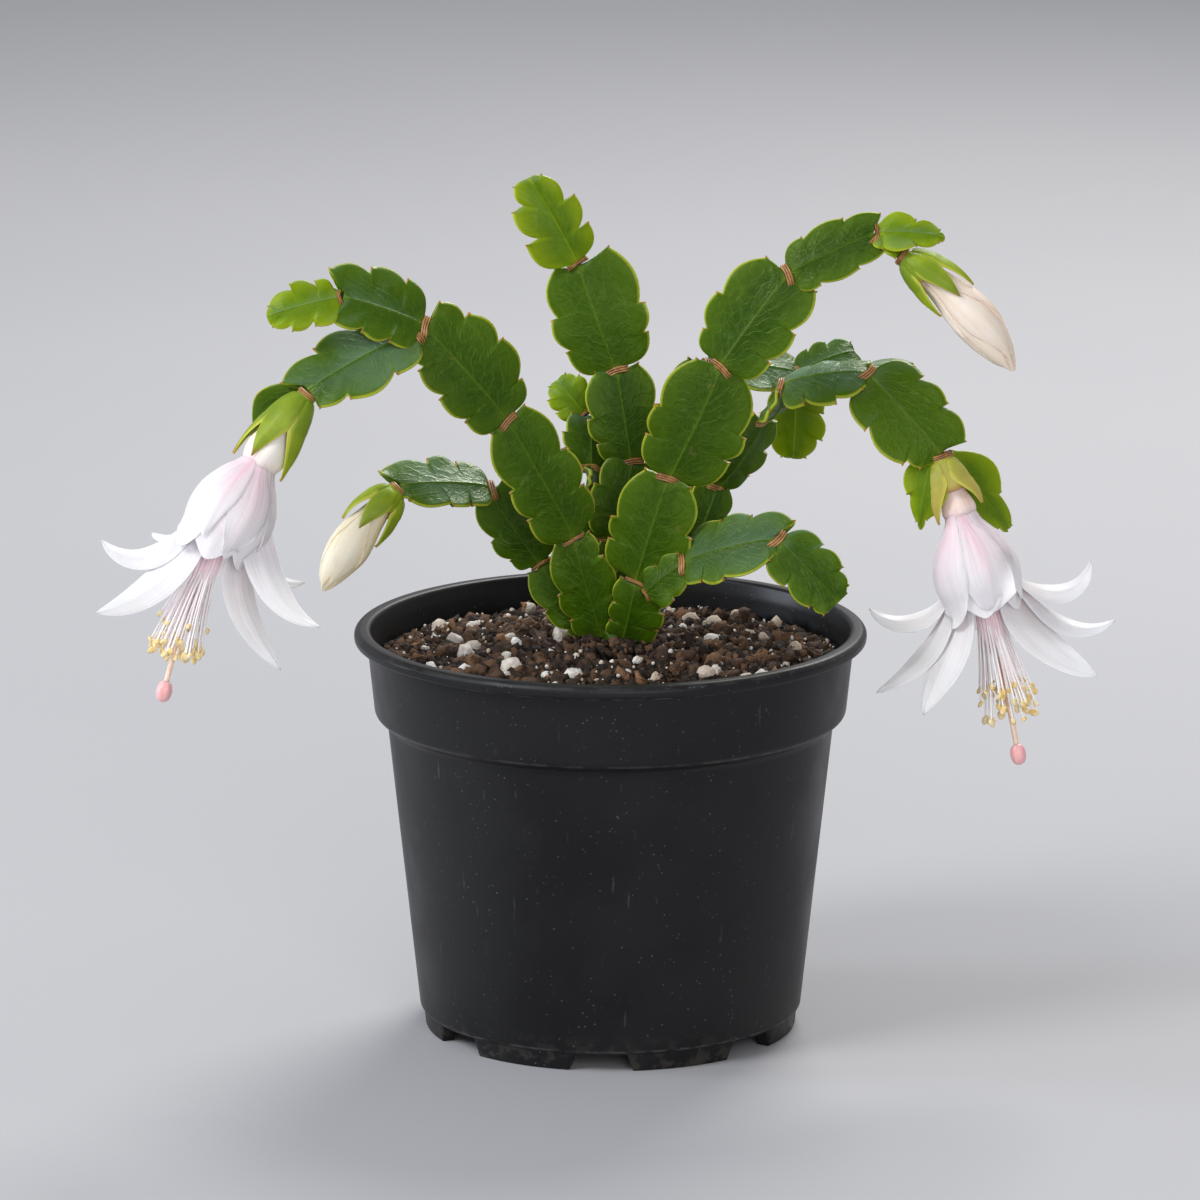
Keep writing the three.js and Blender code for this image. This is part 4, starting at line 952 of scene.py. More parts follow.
grow("crown_stems", "crown", 20, [
    ((-2, -2, 94), (-8.5, -6, 117.5), (7, 6.8), [0.22, 0.5, 1.02], [0.4, 0.8, 1.04], -8,
     {"collar": 0}),
    ((-3, 3, 93.5), (-16, 5, 109), (6.4, 6.4), [0.2, 0.54, 1.02], TEETH, -10, {"collar": 0}),
    ((0.5, 4, 94), (0.5, 10, 113), (5.5, 5.5), TWO_TEETH, TWO_TEETH, 20, {"collar": 0}),
    ((3, -3.5, 93.5), (6, -9, 108), (4.6, 8.2), TEETH, TEETH, 0, {"horn": (4, 5.6), "collar": 0}),
    ((-1.5, 6, 94), (-2.5, 12, 112.5), (5, 5), TWO_TEETH, TWO_TEETH, -25, {"collar": 0}),
    ((3, 6, 94), (10.5, 14, 112), (5, 5), TWO_TEETH, TWO_TEETH, 25, {"collar": 0}),
], extra=[trunk_shape()])


# Left stems
# Two old stems lean left over the rim. The high one forks near its end, where one branch runs on
# as a young tip and the other turns down to the left flower. The low one carries the left bud.

grow("left_high_stem", "stem_left_high", 21, [
    ((-8.5, -6, 117.5), (-24, -13, 147.5), (8.2, 9), [0.3, 0.55, 0.98], [0.3, 0.6, 1.02], 12,
     {"gap": 0.3}),
    ((-24, -13, 147.5), (-43, -18, 170.5), (9.2, 12), [0.22, 0.51, 0.78, 1],
     [0.14, 0.49, 0.81, 1.04], 14, {"horn": (6, 6.8)}),
    ((-43, -18, 170.5), (-61.5, -22, 178), (7.8, 10.2), [0.35, 0.69, 1.03], [0.3, 0.75, 1.2], 25,
     {"horn": (6.6, 6.2)}),
    ((-45, -19, 168.8), (-69, -30, 157.5), (9.6, 10), [0.33, 0.77, 1], [0.36, 0.74, 1.12], 35,
     {"horn": (5.4, 6.2)}),
    ((-69.5, -26, 157), (-82.5, -21, 144.5), (4.2, 4.2), [0.86], [0.86], 10,
     {"tip": 1.2, "horn": (2.4, 2.4)}),
])
grow("left_high_tip", "tip_left_high", 22, [
    ((-61.5, -22, 178), (-78.5, -25, 174), (5.6, 6), [0.42, 0.72, 0.96], [0.25, 0.59, 0.94], 15,
     {"gap": 0.3, "tip": 1.6, "horn": (2.6, 2.6), "notch": 2.4, "collar": 1.8}),
], young=True)
grow("left_low_stem", "stem_left_low", 23, [
    ((-16, 5, 109), (-28, 5, 127), (6.6, 6.6), [0.2, 0.5, 1], TEETH, -15, {"gap": 0.3}),
    ((-28, 5, 127), (-49, -2, 129), (7.4, 8.6), [0.25, 0.48, 0.92], [0.3, 0.62, 1.18], 45,
     {"horn": (4.6, 5)}),
])


# Middle stem
# The tallest stem stands upright behind the others. It ends in one young leaf that still grows.

grow("middle_stem", "stem_middle", 24, [
    ((0.5, 10, 113), (5, 14, 132), (8, 8), TEETH, TEETH, 10, {"gap": 0.3}),
    # Painted shade on this segment
    ((5, 14, 132), (1.5, 16, 153.5), (8.8, 8.8), [0.22, 0.5, 1], [0.25, 0.55, 1.02], 0,
     {"sun": -1}),
    ((1.5, 16, 153.5), (-7.5, 18, 178), (10.6, 12), [0.28, 0.6, 1.04], [0.22, 0.48, 1.06], -8,
     {"horn": (5.6, 8.4)}),
])
grow("middle_tip", "tip_middle", 25, [
    ((-7.5, 18, 178), (-19, 19, 198.5), (9, 7.4), [0.42, 0.78, 0.99], [0.3, 0.62, 0.96], 10,
     {"gap": 0.3, "tip": 1.6, "horn": (4.4, 3), "notch": 3.4}),
], young=True)


# Right stems
# The high right stem is four broad segments long and bends over at its top, where two small young
# segments carry the right bud. A short low branch leaves the foot of it to the front.

grow("right_high_stem", "stem_right_high", 26, [
    ((6, -9, 108), (13.5, -13, 134), (10, 9.6), [0.3, 0.5, 0.99], [0.3, 0.55, 0.97], -8,
     {"gap": 0.3}),
    ((13.5, -13, 134), (25.5, -15, 160.5), (10.8, 12.2), [0.26, 0.5, 0.98], [0.3, 0.53, 0.99], 12,
     {"horn": (6.4, 5.8)}),
    # Painted shade on this segment and the next
    ((25.5, -15, 160.5), (41, -15, 182), (11, 10.2), [0.16, 0.49, 0.99], [0.28, 0.62, 1.02], -12,
     {"horn": (7, 7.6), "sun": -1.8}),
    ((41, -15, 182), (60.5, -15, 191.5), (7.2, 6.8), [0.27, 0.75, 1.14], [0.25, 0.7, 1.02], -15,
     {"horn": (4, 4.8), "notch": 1.1, "bulge": 0.6, "sun": -1.8}),
])
grow("right_high_tips", "tips_right_high", 27, [
    ((60.5, -15, 191.5), (76.5, -17, 191), (3.5, 3.2), [0.56, 0.92], [0.6, 0.92], -20,
     {"gap": 0.3, "tip": 1.2, "horn": (1.8, 1.6)}),
    ((60.5, -15, 191.5), (66.5, -16, 187), (2.6, 2.6), [0.4, 0.9], [0.4, 0.9], -20,
     {"gap": 0.3, "tip": 1.8, "horn": (2, 2)}),
], young=True)
grow("right_low_stem", "stem_right_low", 28, [
    ((8.4, -11.2, 105.6), (17, -16, 114), (4, 6), [0.5, 1], [0.5, 0.9], -20,
     {"gap": 0.3, "horn": (3.2, 4.6), "collar": 1.5}),
    ((17, -16, 114), (38.5, -24, 121.5), (8.8, 8.8), [0.4, 0.73, 1.16], [0.2, 0.45, 0.92], -38,
     {"horn": (4.4, 5.4), "notch": 1.1}),
    ((38.5, -24, 121.5), (52.3, -28, 107.7), (7.1, 7), [0.38, 0.73, 0.92], [0.42, 0.8, 0.97], -10,
     {"tip": 2.4, "horn": (4.6, 4.6)}),
])


# Drooping stem
# This stem arches over to the right behind the others. The weight of the right flower bends its
# last segment down, and two young leaves hang beside the flower.

grow("drooping_stem", "stem_drooping", 29, [
    ((8.4, 9.6, 103.5), (18.5, 8, 113), (5, 5), TWO_TEETH, TWO_TEETH, -20),
    ((18.5, 8, 113), (24.5, 10, 127), (6.4, 6.4), TEETH, TEETH, 25),
    ((24.5, 10, 127), (35.5, 8, 143.5), (6.6, 6.6), TEETH, TEETH, 45),
    ((35.5, 8, 143.5), (40, 5, 151.5), (4.5, 4.5), [0.5, 1], [0.5, 1], 75),
    ((40, 5, 151.5), (59.5, 0, 155.5), (7, 8), [0.3, 0.65, 1], [0.27, 0.65, 0.96], -50,
     {"fold": -1.6}),
    # Painted light on this segment
    ((59.5, 0, 155.5), (76.5, -6, 138), (10, 10.6), [0.34, 0.68, 1.06], [0.36, 0.83, 0.96], -15,
     {"horn": (6.6, 6.2), "sun": 1.3}),
    ((42, 9, 151), (71.5, 15, 153.6), (7, 7), [0.3, 0.68, 1], [0.3, 0.68, 1], -72, {"tip": 2}),
])
grow("drooping_tip_left", "tip_drooping_left", 30, [
    ((75, -5, 138.8), (72, -8, 120.6), (2.6, 4.2), [0.86], [0.56, 0.9], 15,
     {"gap": 1, "tip": 1.0, "horn": (1.4, 1.3), "collar": 1.6, "bulge": 0.45}),
], young=True)
grow("drooping_tip_right", "tip_drooping_right", 31, [
    ((77.5, -3, 137.6), (92.5, 5, 117.2), (4.7, 3.4), [0.64, 0.99], [0.9], -20,
     {"gap": 1, "tip": 1.0, "horn": (2.0, 1.4), "collar": 1.6, "bulge": 0.6}),
], young=True)


# Back stems
# Two shorter stems fill the back of the plant, each ending in a young leaf.

grow("back_left_stem", "stem_back_left", 32, [
    ((-2.5, 12, 112.5), (-5, 18, 124), (5.6, 5.6), TWO_TEETH, TWO_TEETH, 30, {"gap": 0.3}),
    ((-5, 18, 124), (-5, 20, 129), (4, 4), [0.5, 1], [0.5, 1], 70),
    ((-5, 20, 129), (-5.5, 25, 140.5), (7, 7), TEETH, TEETH, 20),
])
grow("back_left_tip", "tip_back_left", 33, [
    ((-5.5, 25, 140.5), (-12.5, 28, 148.5), (5.4, 5.4), [0.4, 0.75, 0.98], [0.4, 0.75, 0.98], 0,
     {"gap": 0.3, "tip": 1.5, "horn": (2.6, 2.6)}),
], young=True)
grow("back_right_stem", "stem_back_right", 34, [
    ((10.5, 14, 112), (17, 22, 132), (8, 8), TWO_TEETH, TWO_TEETH, 0, {"gap": 0.3}),
    ((17, 22, 132), (23, 30, 151), (9, 9), TEETH, TEETH, 10),
    ((23, 30, 151), (44.5, 36, 148), (8, 8), TEETH, TEETH, -45),
    ((44.5, 36, 148), (58, 40, 152.5), (5.6, 5.6), TEETH, TEETH, -35, {"tip": 1.8}),
])
grow("back_right_tip", "tip_back_right", 35, [
    ((44.2, 36, 147.5), (43.5, 39, 127.5), (7, 7), [0.35, 0.7, 0.97], [0.35, 0.7, 0.97], 0,
     {"gap": 1.2, "tip": 1.6, "horn": (3, 3)}),
], young=True)


# Flowers
# Each flower hangs from a joint on a green ovary with pointed bracts. Its tube narrows to a pink
# neck and opens into a bell of broad overlapping petals. Long petals sweep back from the mouth.

TUBE_START = 8.9
OVARY_TOP = 8.6
TUBE_RADII = (2.7, 3.5, 3.8, 3.6)
# Share of the way from neck to mouth, radius of the bell there
BELL_SHAPE = [(0, 4.1), (0.2, 7.0), (0.42, 9.4), (0.66, 9.8), (0.86, 8.2), (1, 6.9)]
PETAL_HALF_THICKNESS = 0.24
BRACT_HALF_THICKNESS = 0.36
PETAL_MARKS = ("tone", "margin", "along", "across", "blush")
# Rows along and columns across each kind of petal
LONG_GRID = (26, 13)
BELL_GRID = (26, 17)
BRACT_GRID = (22, 13)
LINE_STEPS = 200
# The long petals and the filaments leave the tube this far below the mouth, the petals at this
# radius, and the bell's petals leave it this far below the neck
THROAT = 8
MOUTH_RADIUS = 6.5
BELL_FOOT = 2.4


def between(table, share):
    """A value read off a table of (share, value) pairs along a smooth curve."""
    if share <= table[0][0]:
        return table[0][1]
    for number in range(len(table) - 1):
        (low, a), (high, b) = table[number], table[number + 1]
        if share <= high:
            t = (share - low) / (high - low)
            before = table[number - 1] if number > 0 else (2 * low - high, a)
            after = table[number + 2] if number + 2 < len(table) else (2 * high - low, b)
            slope_a = (b - before[1]) / (high - before[0]) * (high - low)
            slope_b = (after[1] - a) / (after[0] - low) * (high - low)
            return ((2 * t ** 3 - 3 * t ** 2 + 1) * a + (t ** 3 - 2 * t ** 2 + t) * slope_a
                    + (3 * t ** 2 - 2 * t ** 3) * b + (t ** 3 - t ** 2) * slope_b)
    return table[-1][1]


class BloomAxis:
    """The curved middle line of a flower or bud, from its joint to its end."""

    def __init__(self, start, bend, end):
        self.start, self.bend, self.end = Vector(start), Vector(bend), Vector(end)
        self.lengths = [0.0]
        for k in range(LINE_STEPS):
            step = self.at((k + 1) / LINE_STEPS) - self.at(k / LINE_STEPS)
            self.lengths.append(self.lengths[-1] + step.length)
        self.length = self.lengths[-1]

    def at(self, t):
        return self.start * (1 - t) ** 2 + self.bend * 2 * t * (1 - t) + self.end * t * t

    def place(self, x, y, reach):
        """The place of a point of the straight bloom: x to the right, y to the back."""
        wanted = min(self.length, max(0, reach))
        k = min(LINE_STEPS - 1, max(0, int(np.searchsorted(self.lengths, wanted)) - 1))
        t = (k + (wanted - self.lengths[k]) / (self.lengths[k + 1] - self.lengths[k])) / LINE_STEPS
        tangent = ((self.bend - self.start) * (1 - t) + (self.end - self.bend) * t).normalized()
        side = (Vector((1, 0, 0)) - tangent * tangent.x).normalized()
        back = side.cross(tangent)
        return self.at(t) + side * x + back * y + tangent * (reach - wanted)

    def round(self, radius, angle, reach):
        return self.place(radius * math.cos(angle), radius * math.sin(angle), reach)


def sheet_shape(size, point, half, taper=0.0):
    """A thin closed leaf: its two faces and the rim between them.

    point(s, u) gives a middle point and its numbers, s from foot to tip and u from side to side."""
    rows, columns = size
    cells = [[point(r / (rows - 1), 2 * c / (columns - 1) - 1) for c in range(columns)]
             for r in range(rows)]
    grid = [[place for place, _ in row] for row in cells]
    count = rows * columns
    points, numbers, faces = [], [], []
    for face in (1, -1):
        for r in range(rows):
            for c in range(columns):
                up = grid[min(rows - 1, r + 1)][c] - grid[max(0, r - 1)][c]
                over = grid[r][min(columns - 1, c + 1)] - grid[r][max(0, c - 1)]
                thin = 0.35 if r in (0, rows - 1) or c in (0, columns - 1) else 1
                thin *= 1 - taper * (r / (rows - 1)) ** 2
                points.append(grid[r][c] + up.cross(over).normalized() * (face * half * thin))
                numbers.append(cells[r][c][1])
    for r in range(rows - 1):
        for c in range(columns - 1):
            a, b = r * columns + c, (r + 1) * columns + c
            faces.append((a, b, b + 1, a + 1))
            faces.append((a + 1 + count, b + 1 + count, b + count, a + count))
    for r in range(rows - 1):
        a, b = r * columns, (r + 1) * columns
        faces.append((b, a, a + count, b + count))
        a, b = a + columns - 1, b + columns - 1
        faces.append((a, b, b + count, a + count))
    for c in range(columns - 1):
        a, b = c, c + 1
        faces.append((a, b, b + count, a + count))
        a, b = a + count - columns, b + count - columns
        faces.append((b, a, a + count, b + count))
    return points, faces, numbers


def long_petal(axis, spec, mouth, chance):
    """A long pointed petal that leaves the mouth, sweeps out and twists, with a creased middle."""
    tip, half, foot = spec["tip"], spec["half"], spec.get("foot", 0.18)
    twist, early = math.radians(spec.get("twist", 0)), spec.get("early", 0)
    angle = math.atan2(tip[1], tip[0])
    root = spec.get("root", (MOUTH_RADIUS, mouth - THROAT))
    end = (math.hypot(tip[0], tip[1]), tip[2])
    first, second, third, last = (Vector(guide) for guide in (root, *spec["swing"], end))
    wave, tone = chance.uniform(0, FULL_TURN), chance.random()

    def point(s, u):
        t = 1 - s
        middle = first * t ** 3 + second * 3 * t * t * s + third * 3 * t * s * s + last * s ** 3
        slope = ((second - first) * t * t + (third - second) * 2 * t * s
                 + (last - third) * s * s).normalized()
        turn = twist * (early + (1 - early) * s ** 0.7)
        width = 0.12 + (half + 0.23) * math.sin(math.pi * (foot + (1 - foot) * s)) ** 0.8
        lift = -0.75 * math.sin(math.pi * s) * abs(u) ** 1.6 + 0.22 * math.exp(-(u / 0.16) ** 2)
        lift += 0.22 * u * abs(u) * math.sin(9 * s + wave) * math.sin(math.pi * s)
        off = u * width
        sideways = off * math.cos(turn) - lift * math.sin(turn)
        raised = off * math.sin(turn) + lift * math.cos(turn)
        radius, reach = middle.x + raised * slope.y, middle.y - raised * slope.x
        place = axis.place(radius * math.cos(angle) - sideways * math.sin(angle),
                           radius * math.sin(angle) + sideways * math.cos(angle), reach)
        return place, (tone, abs(u), s, u, 0.25 * (1 - s) ** 2)

    return sheet_shape(LONG_GRID, point, PETAL_HALF_THICKNESS)


def bell_petal(axis, neck, mouth, node, spec, chance):
    """A broad petal of the bell, wrapped round the axis from the neck to its own lip."""
    centre, spread, lip, layer, pointed, flare, blush, curl = spec
    tone, wave = chance.random(), chance.uniform(0, FULL_TURN)

    def point(s, u):
        end = mouth + lip - pointed * abs(u) ** 1.7
        reach = neck - BELL_FOOT + (end - neck + BELL_FOOT) * s
        share = max(0, (reach - neck) / (mouth - neck))
        radius = between(BELL_SHAPE, min(share, 1.0)) * (0.95 + 0.022 * layer)
        radius -= 0.55 * max(0, neck - reach) / BELL_FOOT
        radius += flare * max(0, s - 0.72) ** 2 / 0.078 + (0.12 + 0.16 * s) * layer
        radius += (0.25 * math.exp(-(u / 0.18) ** 2) - 0.2 * abs(u) ** 5) * min(1, 3 * s)
        radius += 0.22 * math.sin(5 * s + 2.5 * u + wave) * s
        lift = curl * max(0, (u + 0.1) / 1.1) ** 2.2 * max(0, (s - 0.6) / 0.4) ** 1.6
        radius, reach = radius + lift, reach - 0.35 * lift
        opening = min(1, 0.36 + 2.1 * s) * (1 - 0.35 * max(0, s - 0.7) / 0.3)
        away = math.remainder(node - centre, 360)
        pull = 0.8 * max(0, 1 - abs(away) / 110) * max(0, 1 - s / 0.45) ** 2
        angle = math.radians(centre + away * pull + spread * u * opening)
        pink = blush * max(0, 1 - s * 1.25) ** 1.2
        pink += 0.5 * blush * math.exp(-(u / 0.3) ** 2) * (1 - s)
        return axis.round(radius, angle, reach), (tone, abs(u), s, u, pink)

    return sheet_shape(BELL_GRID, point, PETAL_HALF_THICKNESS)


def turned_shape(axis, profile, around, wave=None, blush=None):
    """A closed form turned round a bloom's axis; wave(angle, share) widens its radius."""
    points, numbers = [], []
    first, last = profile[0][1], profile[-1][1]
    for radius, reach in profile:
        share = (reach - first) / (last - first)
        for k, angle in enumerate(turns(around)):
            wide = radius * (1 + (wave(angle, share) if wave else 0))
            points.append(axis.round(wide, angle, reach))
            u = abs(2 * k / around - 1)
            numbers.append((0.5, 0.4, share, 2 * u - 1, blush(share) if blush else 0))
    return points, ring_faces(len(profile), around), numbers


def smooth_profile(table, steps):
    """More rows between the given (reach, radius) rows, along a smooth curve."""
    low, high = table[0][0], table[-1][0]
    return [(between(table, low + (high - low) * k / steps), low + (high - low) * k / steps)
            for k in range(steps + 1)]


def petal_tissue(name, white, shade, pink, warm, warmth, edge=(0.93, 0.92, 0.93), clear=0.6):
    """Thin waxy petal: lengthwise veins, a clear bright rim and pink towards its foot."""
    petal = Finish(name, {
        "Roughness": 0.45, "Specular IOR Level": 0.35, "Subsurface Weight": clear,
        "Subsurface Radius": (0.0030, 0.0026, 0.0025), "Subsurface Scale": 0.5})
    tone, out, along, across, blush = (petal.mark(label) for label in PETAL_MARKS)
    petal.two_tone(white, shade, petal.patches(90, 0.3, 0.7))
    lines = petal.out("ShaderNodeCombineXYZ", {
        "X": petal.times(across, 7.0), "Y": petal.times(along, 1.1),
        "Z": petal.times(tone, 30.0)})
    vein = petal.noise(lines, 1.6, Detail=3.0)
    petal.tint(shade, petal.ramp(vein, 0.50, 0.64), 0.30, "MULTIPLY")
    petal.tint(warm, petal.patches(60, 0.42, 0.62), warmth)
    petal.tint(pink, petal.times(blush, petal.ramp(vein, 0.35, 0.65, 0.6, 1.2)))
    petal.tint(edge, petal.ramp(out, 0.86, 0.97), 0.75)
    petal.relief(petal.maths("ADD", vein, petal.times(petal.patches(700), 0.08)), 0.35, 0.30)
    return petal.done(petal.ramp(petal.patches(240), 0, 1, 0.38, 0.52))


def calyx_flesh():
    """Yellow-green bracts: paler margins, an olive blush and fine lengthwise lines."""
    flesh = Finish("calyx flesh", {
        "Roughness": 0.4, "Specular IOR Level": 0.26, "Subsurface Weight": 0.2,
        "Subsurface Radius": (0.0022, 0.0026, 0.0006), "Subsurface Scale": 0.5})
    _, out, along, across, blush = (flesh.mark(label) for label in PETAL_MARKS)
    flesh.two_tone((0.15, 0.26, 0.003), (0.28, 0.40, 0.006), flesh.patches(110))
    flesh.tint((0.58, 0.42, 0.12), blush, 0.9)
    flesh.tint((0.62, 0.60, 0.08), flesh.ramp(out, 0.72, 0.98, 0.0, 0.8))
    flesh.tint((0.42, 0.20, 0.07), flesh.ramp(along, 0.85, 1.0), 0.7)
    lines = flesh.out("ShaderNodeCombineXYZ", {"X": flesh.times(across, 9.0), "Y": along})
    flesh.relief(flesh.noise(lines, 1.5, Detail=2.0), 0.4, 0.3)
    return flesh.done()


flower_tissue = petal_tissue(
    "white petal tissue", (0.85, 0.84, 0.85), (0.78, 0.78, 0.80), (0.88, 0.50, 0.58),
    (0.86, 0.79, 0.71), 0.25)
# The bell's petals are the same white tissue as the long petals; this brighter copy is painted
# light for the bell, which faces away from the lamps
brightened_bell_tissue = petal_tissue(
    "bell petal tissue", (0.955, 0.92, 0.94), (0.91, 0.86, 0.895), (0.95, 0.54, 0.63),
    (0.95, 0.88, 0.83), 0.25, (1.0, 0.98, 0.99), 0.35)
tube_tissue = petal_tissue(
    "flower tube tissue", (0.97, 0.92, 0.85), (0.94, 0.86, 0.74), (0.96, 0.62, 0.64),
    (0.93, 0.79, 0.46), 0.6, (0.98, 0.92, 0.85), 0.35)
green_calyx = calyx_flesh()


def tube_shape(axis, neck, swell, pink):
    """The flower tube, widest above the ovary and narrow at the pink neck."""
    middle = (TUBE_START + neck) / 2
    table = [(TUBE_START, TUBE_RADII[0]), (middle, (TUBE_RADII[1] + 0.4) * swell),
             (neck - 2.6, (TUBE_RADII[2] + 0.2) * swell), (neck - 0.4, 3.5 * swell),
             (neck + 1.0, 3.6), (neck + 3.0, 4.5), (neck + 5.0, 5.4)]
    return turned_shape(axis, smooth_profile(table, 26), 40,
                        lambda angle, share: 0.035 * math.cos(5 * angle + 1.2),
                        lambda share: pink + 0.7 * max(0, share - 0.5) / 0.5)


def cup_bract(axis, cone, tip, half, ripe, chance):
    """A pointed bract that hugs the ovary and leaves it towards its own tip."""
    centre = math.atan2(tip[1], tip[0])
    end_radius, top = math.hypot(tip[0], tip[1]), cone[-1][0]
    tone, wave = chance.random(), chance.uniform(0, FULL_TURN)

    def point(s, u):
        reach = 1.6 + (tip[2] - 1.6) * s
        beyond = max(0, reach - top * 0.8) / (tip[2] - top * 0.8)
        radius = between(cone, min(reach, top)) * 1.04 + 0.10
        radius += (end_radius - radius) * beyond ** 1.1 + 0.7 * math.sin(math.pi * beyond)
        width = half * (0.45 + 0.55 * math.sin(min(1, s / 0.42) * math.pi / 2))
        width *= max(0.02, 1 - max(0, (s - 0.36) / 0.64) ** 1.25)
        angle = centre + u * width / max(radius, 2.2)
        out = radius - 0.3 * u * u + 0.24 * math.exp(-(u / 0.2) ** 2) * s
        out += 0.16 * u * math.sin(7 * s + wave) * s
        numbers = (tone, abs(u) * min(1, s * 4), s, u, ripe * (0.5 + 0.5 * s))
        return axis.round(out, angle, reach), numbers

    return sheet_shape(BRACT_GRID, point, BRACT_HALF_THICKNESS, 0.75)


def joint_ring(axis):
    """The corky ring at the joint on which a bloom hangs, in its piece's second material."""
    rows, around = 19, 30
    rings = [abs(math.sin(math.pi * k / (rows - 1) * 3)) ** 0.6 for k in range(rows)]
    profile = [(2.05 + 0.25 * math.sin(math.pi * k / (rows - 1)) + 0.22 * rings[k],
                -0.15 + 1.35 * k / (rows - 1)) for k in range(rows)]
    points, faces, _ = turned_shape(axis, profile, around)
    return points, faces, [(0.5, 0.5, rings[k // around], 0, 0) for k in range(len(points))], 1


def build_calyx(name, axis, bracts, cone_top, ripe, chance):
    """The swollen ovary, the pointed bracts that grow out of it and the ring at its joint."""
    cone = [(0.3, 2.1), (0.25 * cone_top, 2.75), (0.55 * cone_top, 3.9), (0.85 * cone_top, 4.55),
            (cone_top, 4.4)]
    shapes = [turned_shape(axis, smooth_profile(cone, 18), 40,
                           lambda angle, share: 0.035 * math.cos(5 * angle) * share,
                           lambda share: ripe * (0.4 + 0.6 * share))]
    shapes += [cup_bract(axis, cone, tip, half, ripe, chance) for tip, half in bracts]
    return marked_object(name, [*shapes, joint_ring(axis)], (green_calyx, cork), PETAL_MARKS)


# Filaments and anthers
# Sixty-six fine white threads leave the throat in a close bundle and fan out a little. Each ends
# in a small golden anther, which hangs by its middle.

FILAMENTS = 66
FILAMENT_STEPS = 8
GOLDEN_ANGLE = math.radians(137.5)
THREAD_SIZES = {"Thickness": 0.23 * MM, "Anther Length": 2.2 * MM, "Anther Width": 0.78 * MM}


def plain_tissue(name, first, second, scale, roughness, bump_height, clear, blush=None, end=None):
    """A soft plant finish of two colours in patches, with others where the blush mark says."""
    tissue = Finish(name, {
        "Roughness": roughness, "Subsurface Weight": clear, "Subsurface Scale": 0.5,
        "Subsurface Radius": (0.0012, 0.0010, 0.0010)})
    tissue.two_tone(first, second, tissue.patches(scale))
    if blush:
        mark = tissue.mark("blush")
        tissue.tint(blush, tissue.ramp(mark, 0, 1))
        tissue.tint(end, tissue.ramp(mark, 1.2, 1.8))
    tissue.relief(tissue.noise(tissue.place, scale * 3.0, Detail=4.0), 0.6, bump_height)
    return tissue.done()


thread_white = plain_tissue("filament tissue", (0.99, 0.97, 0.965), (0.98, 0.89, 0.90),
                            160, 0.4, 0.02, 0.0)
anther_gold = plain_tissue("anther pollen", (0.86, 0.60, 0.22), (0.96, 0.83, 0.53),
                           700, 0.85, 0.25, 0.2)
pistil_coral = plain_tissue("style tissue", (0.80, 0.27, 0.20), (0.86, 0.42, 0.34),
                            220, 0.38, 0.1, 0.9, (0.93, 0.68, 0.55), (0.90, 0.50, 0.50))


def thread_tree(name):
    """Round threads along the lines it is given, with a tilted anther at the end of each."""
    nodes, give, take = new_group(name, "GeometryNodeTree", {
        "Lines": None, "Thickness": 0.0002, "Anther Length": 0.0019, "Anther Width": 0.0008,
        "Seed": 1}, "Threads")
    curves = nodes.out("GeometryNodeMeshToCurve", {"Mesh": give["Lines"]})
    ring = nodes.out("GeometryNodeCurvePrimitiveCircle", {
        "Resolution": 6, "Radius": give["Thickness"]})
    threads = nodes.out("GeometryNodeCurveToMesh", {
        "Curve": curves, "Profile Curve": ring, "Fill Caps": True})
    ends = nodes.out("GeometryNodeCurveEndpointSelection", {"Start Size": 0, "End Size": 1})
    aim = nodes.out("GeometryNodeInputTangent")
    lean = draw(nodes, (-0.8, -0.8, -0.8), (0.8, 0.8, 0.8), give["Seed"])
    tilted = nodes.out("ShaderNodeVectorMath", {0: aim, 1: lean}, operation="ADD")
    turn = nodes.out("FunctionNodeAlignRotationToVector", {"Vector": tilted}, axis="Z")
    bean = nodes.out("GeometryNodeMeshUVSphere", {"Segments": 8, "Rings": 6, "Radius": 1.0})
    size = nodes.out("ShaderNodeCombineXYZ", {
        "X": give["Anther Width"], "Y": nodes.times(give["Anther Width"], 0.7),
        "Z": nodes.times(give["Anther Length"], 0.5)})
    anthers = nodes.out("GeometryNodeInstanceOnPoints", {
        "Points": curves, "Selection": ends, "Instance": bean, "Rotation": turn,
        "Scale": scaled(nodes, size, draw(nodes, 0.75, 1.2, give["Seed"]))})
    uneven = unevened(nodes, anthers, 900.0, 2.0, 0.9)
    both = nodes.out("GeometryNodeJoinGeometry")
    for part, material in ((threads, thread_white), (uneven, anther_gold)):
        dressed = nodes.out("GeometryNodeSetMaterial", {"Geometry": part, "Material": material})
        nodes.feed(both.node.inputs[0], dressed)
    nodes.feed(take, both)
    return nodes.tree


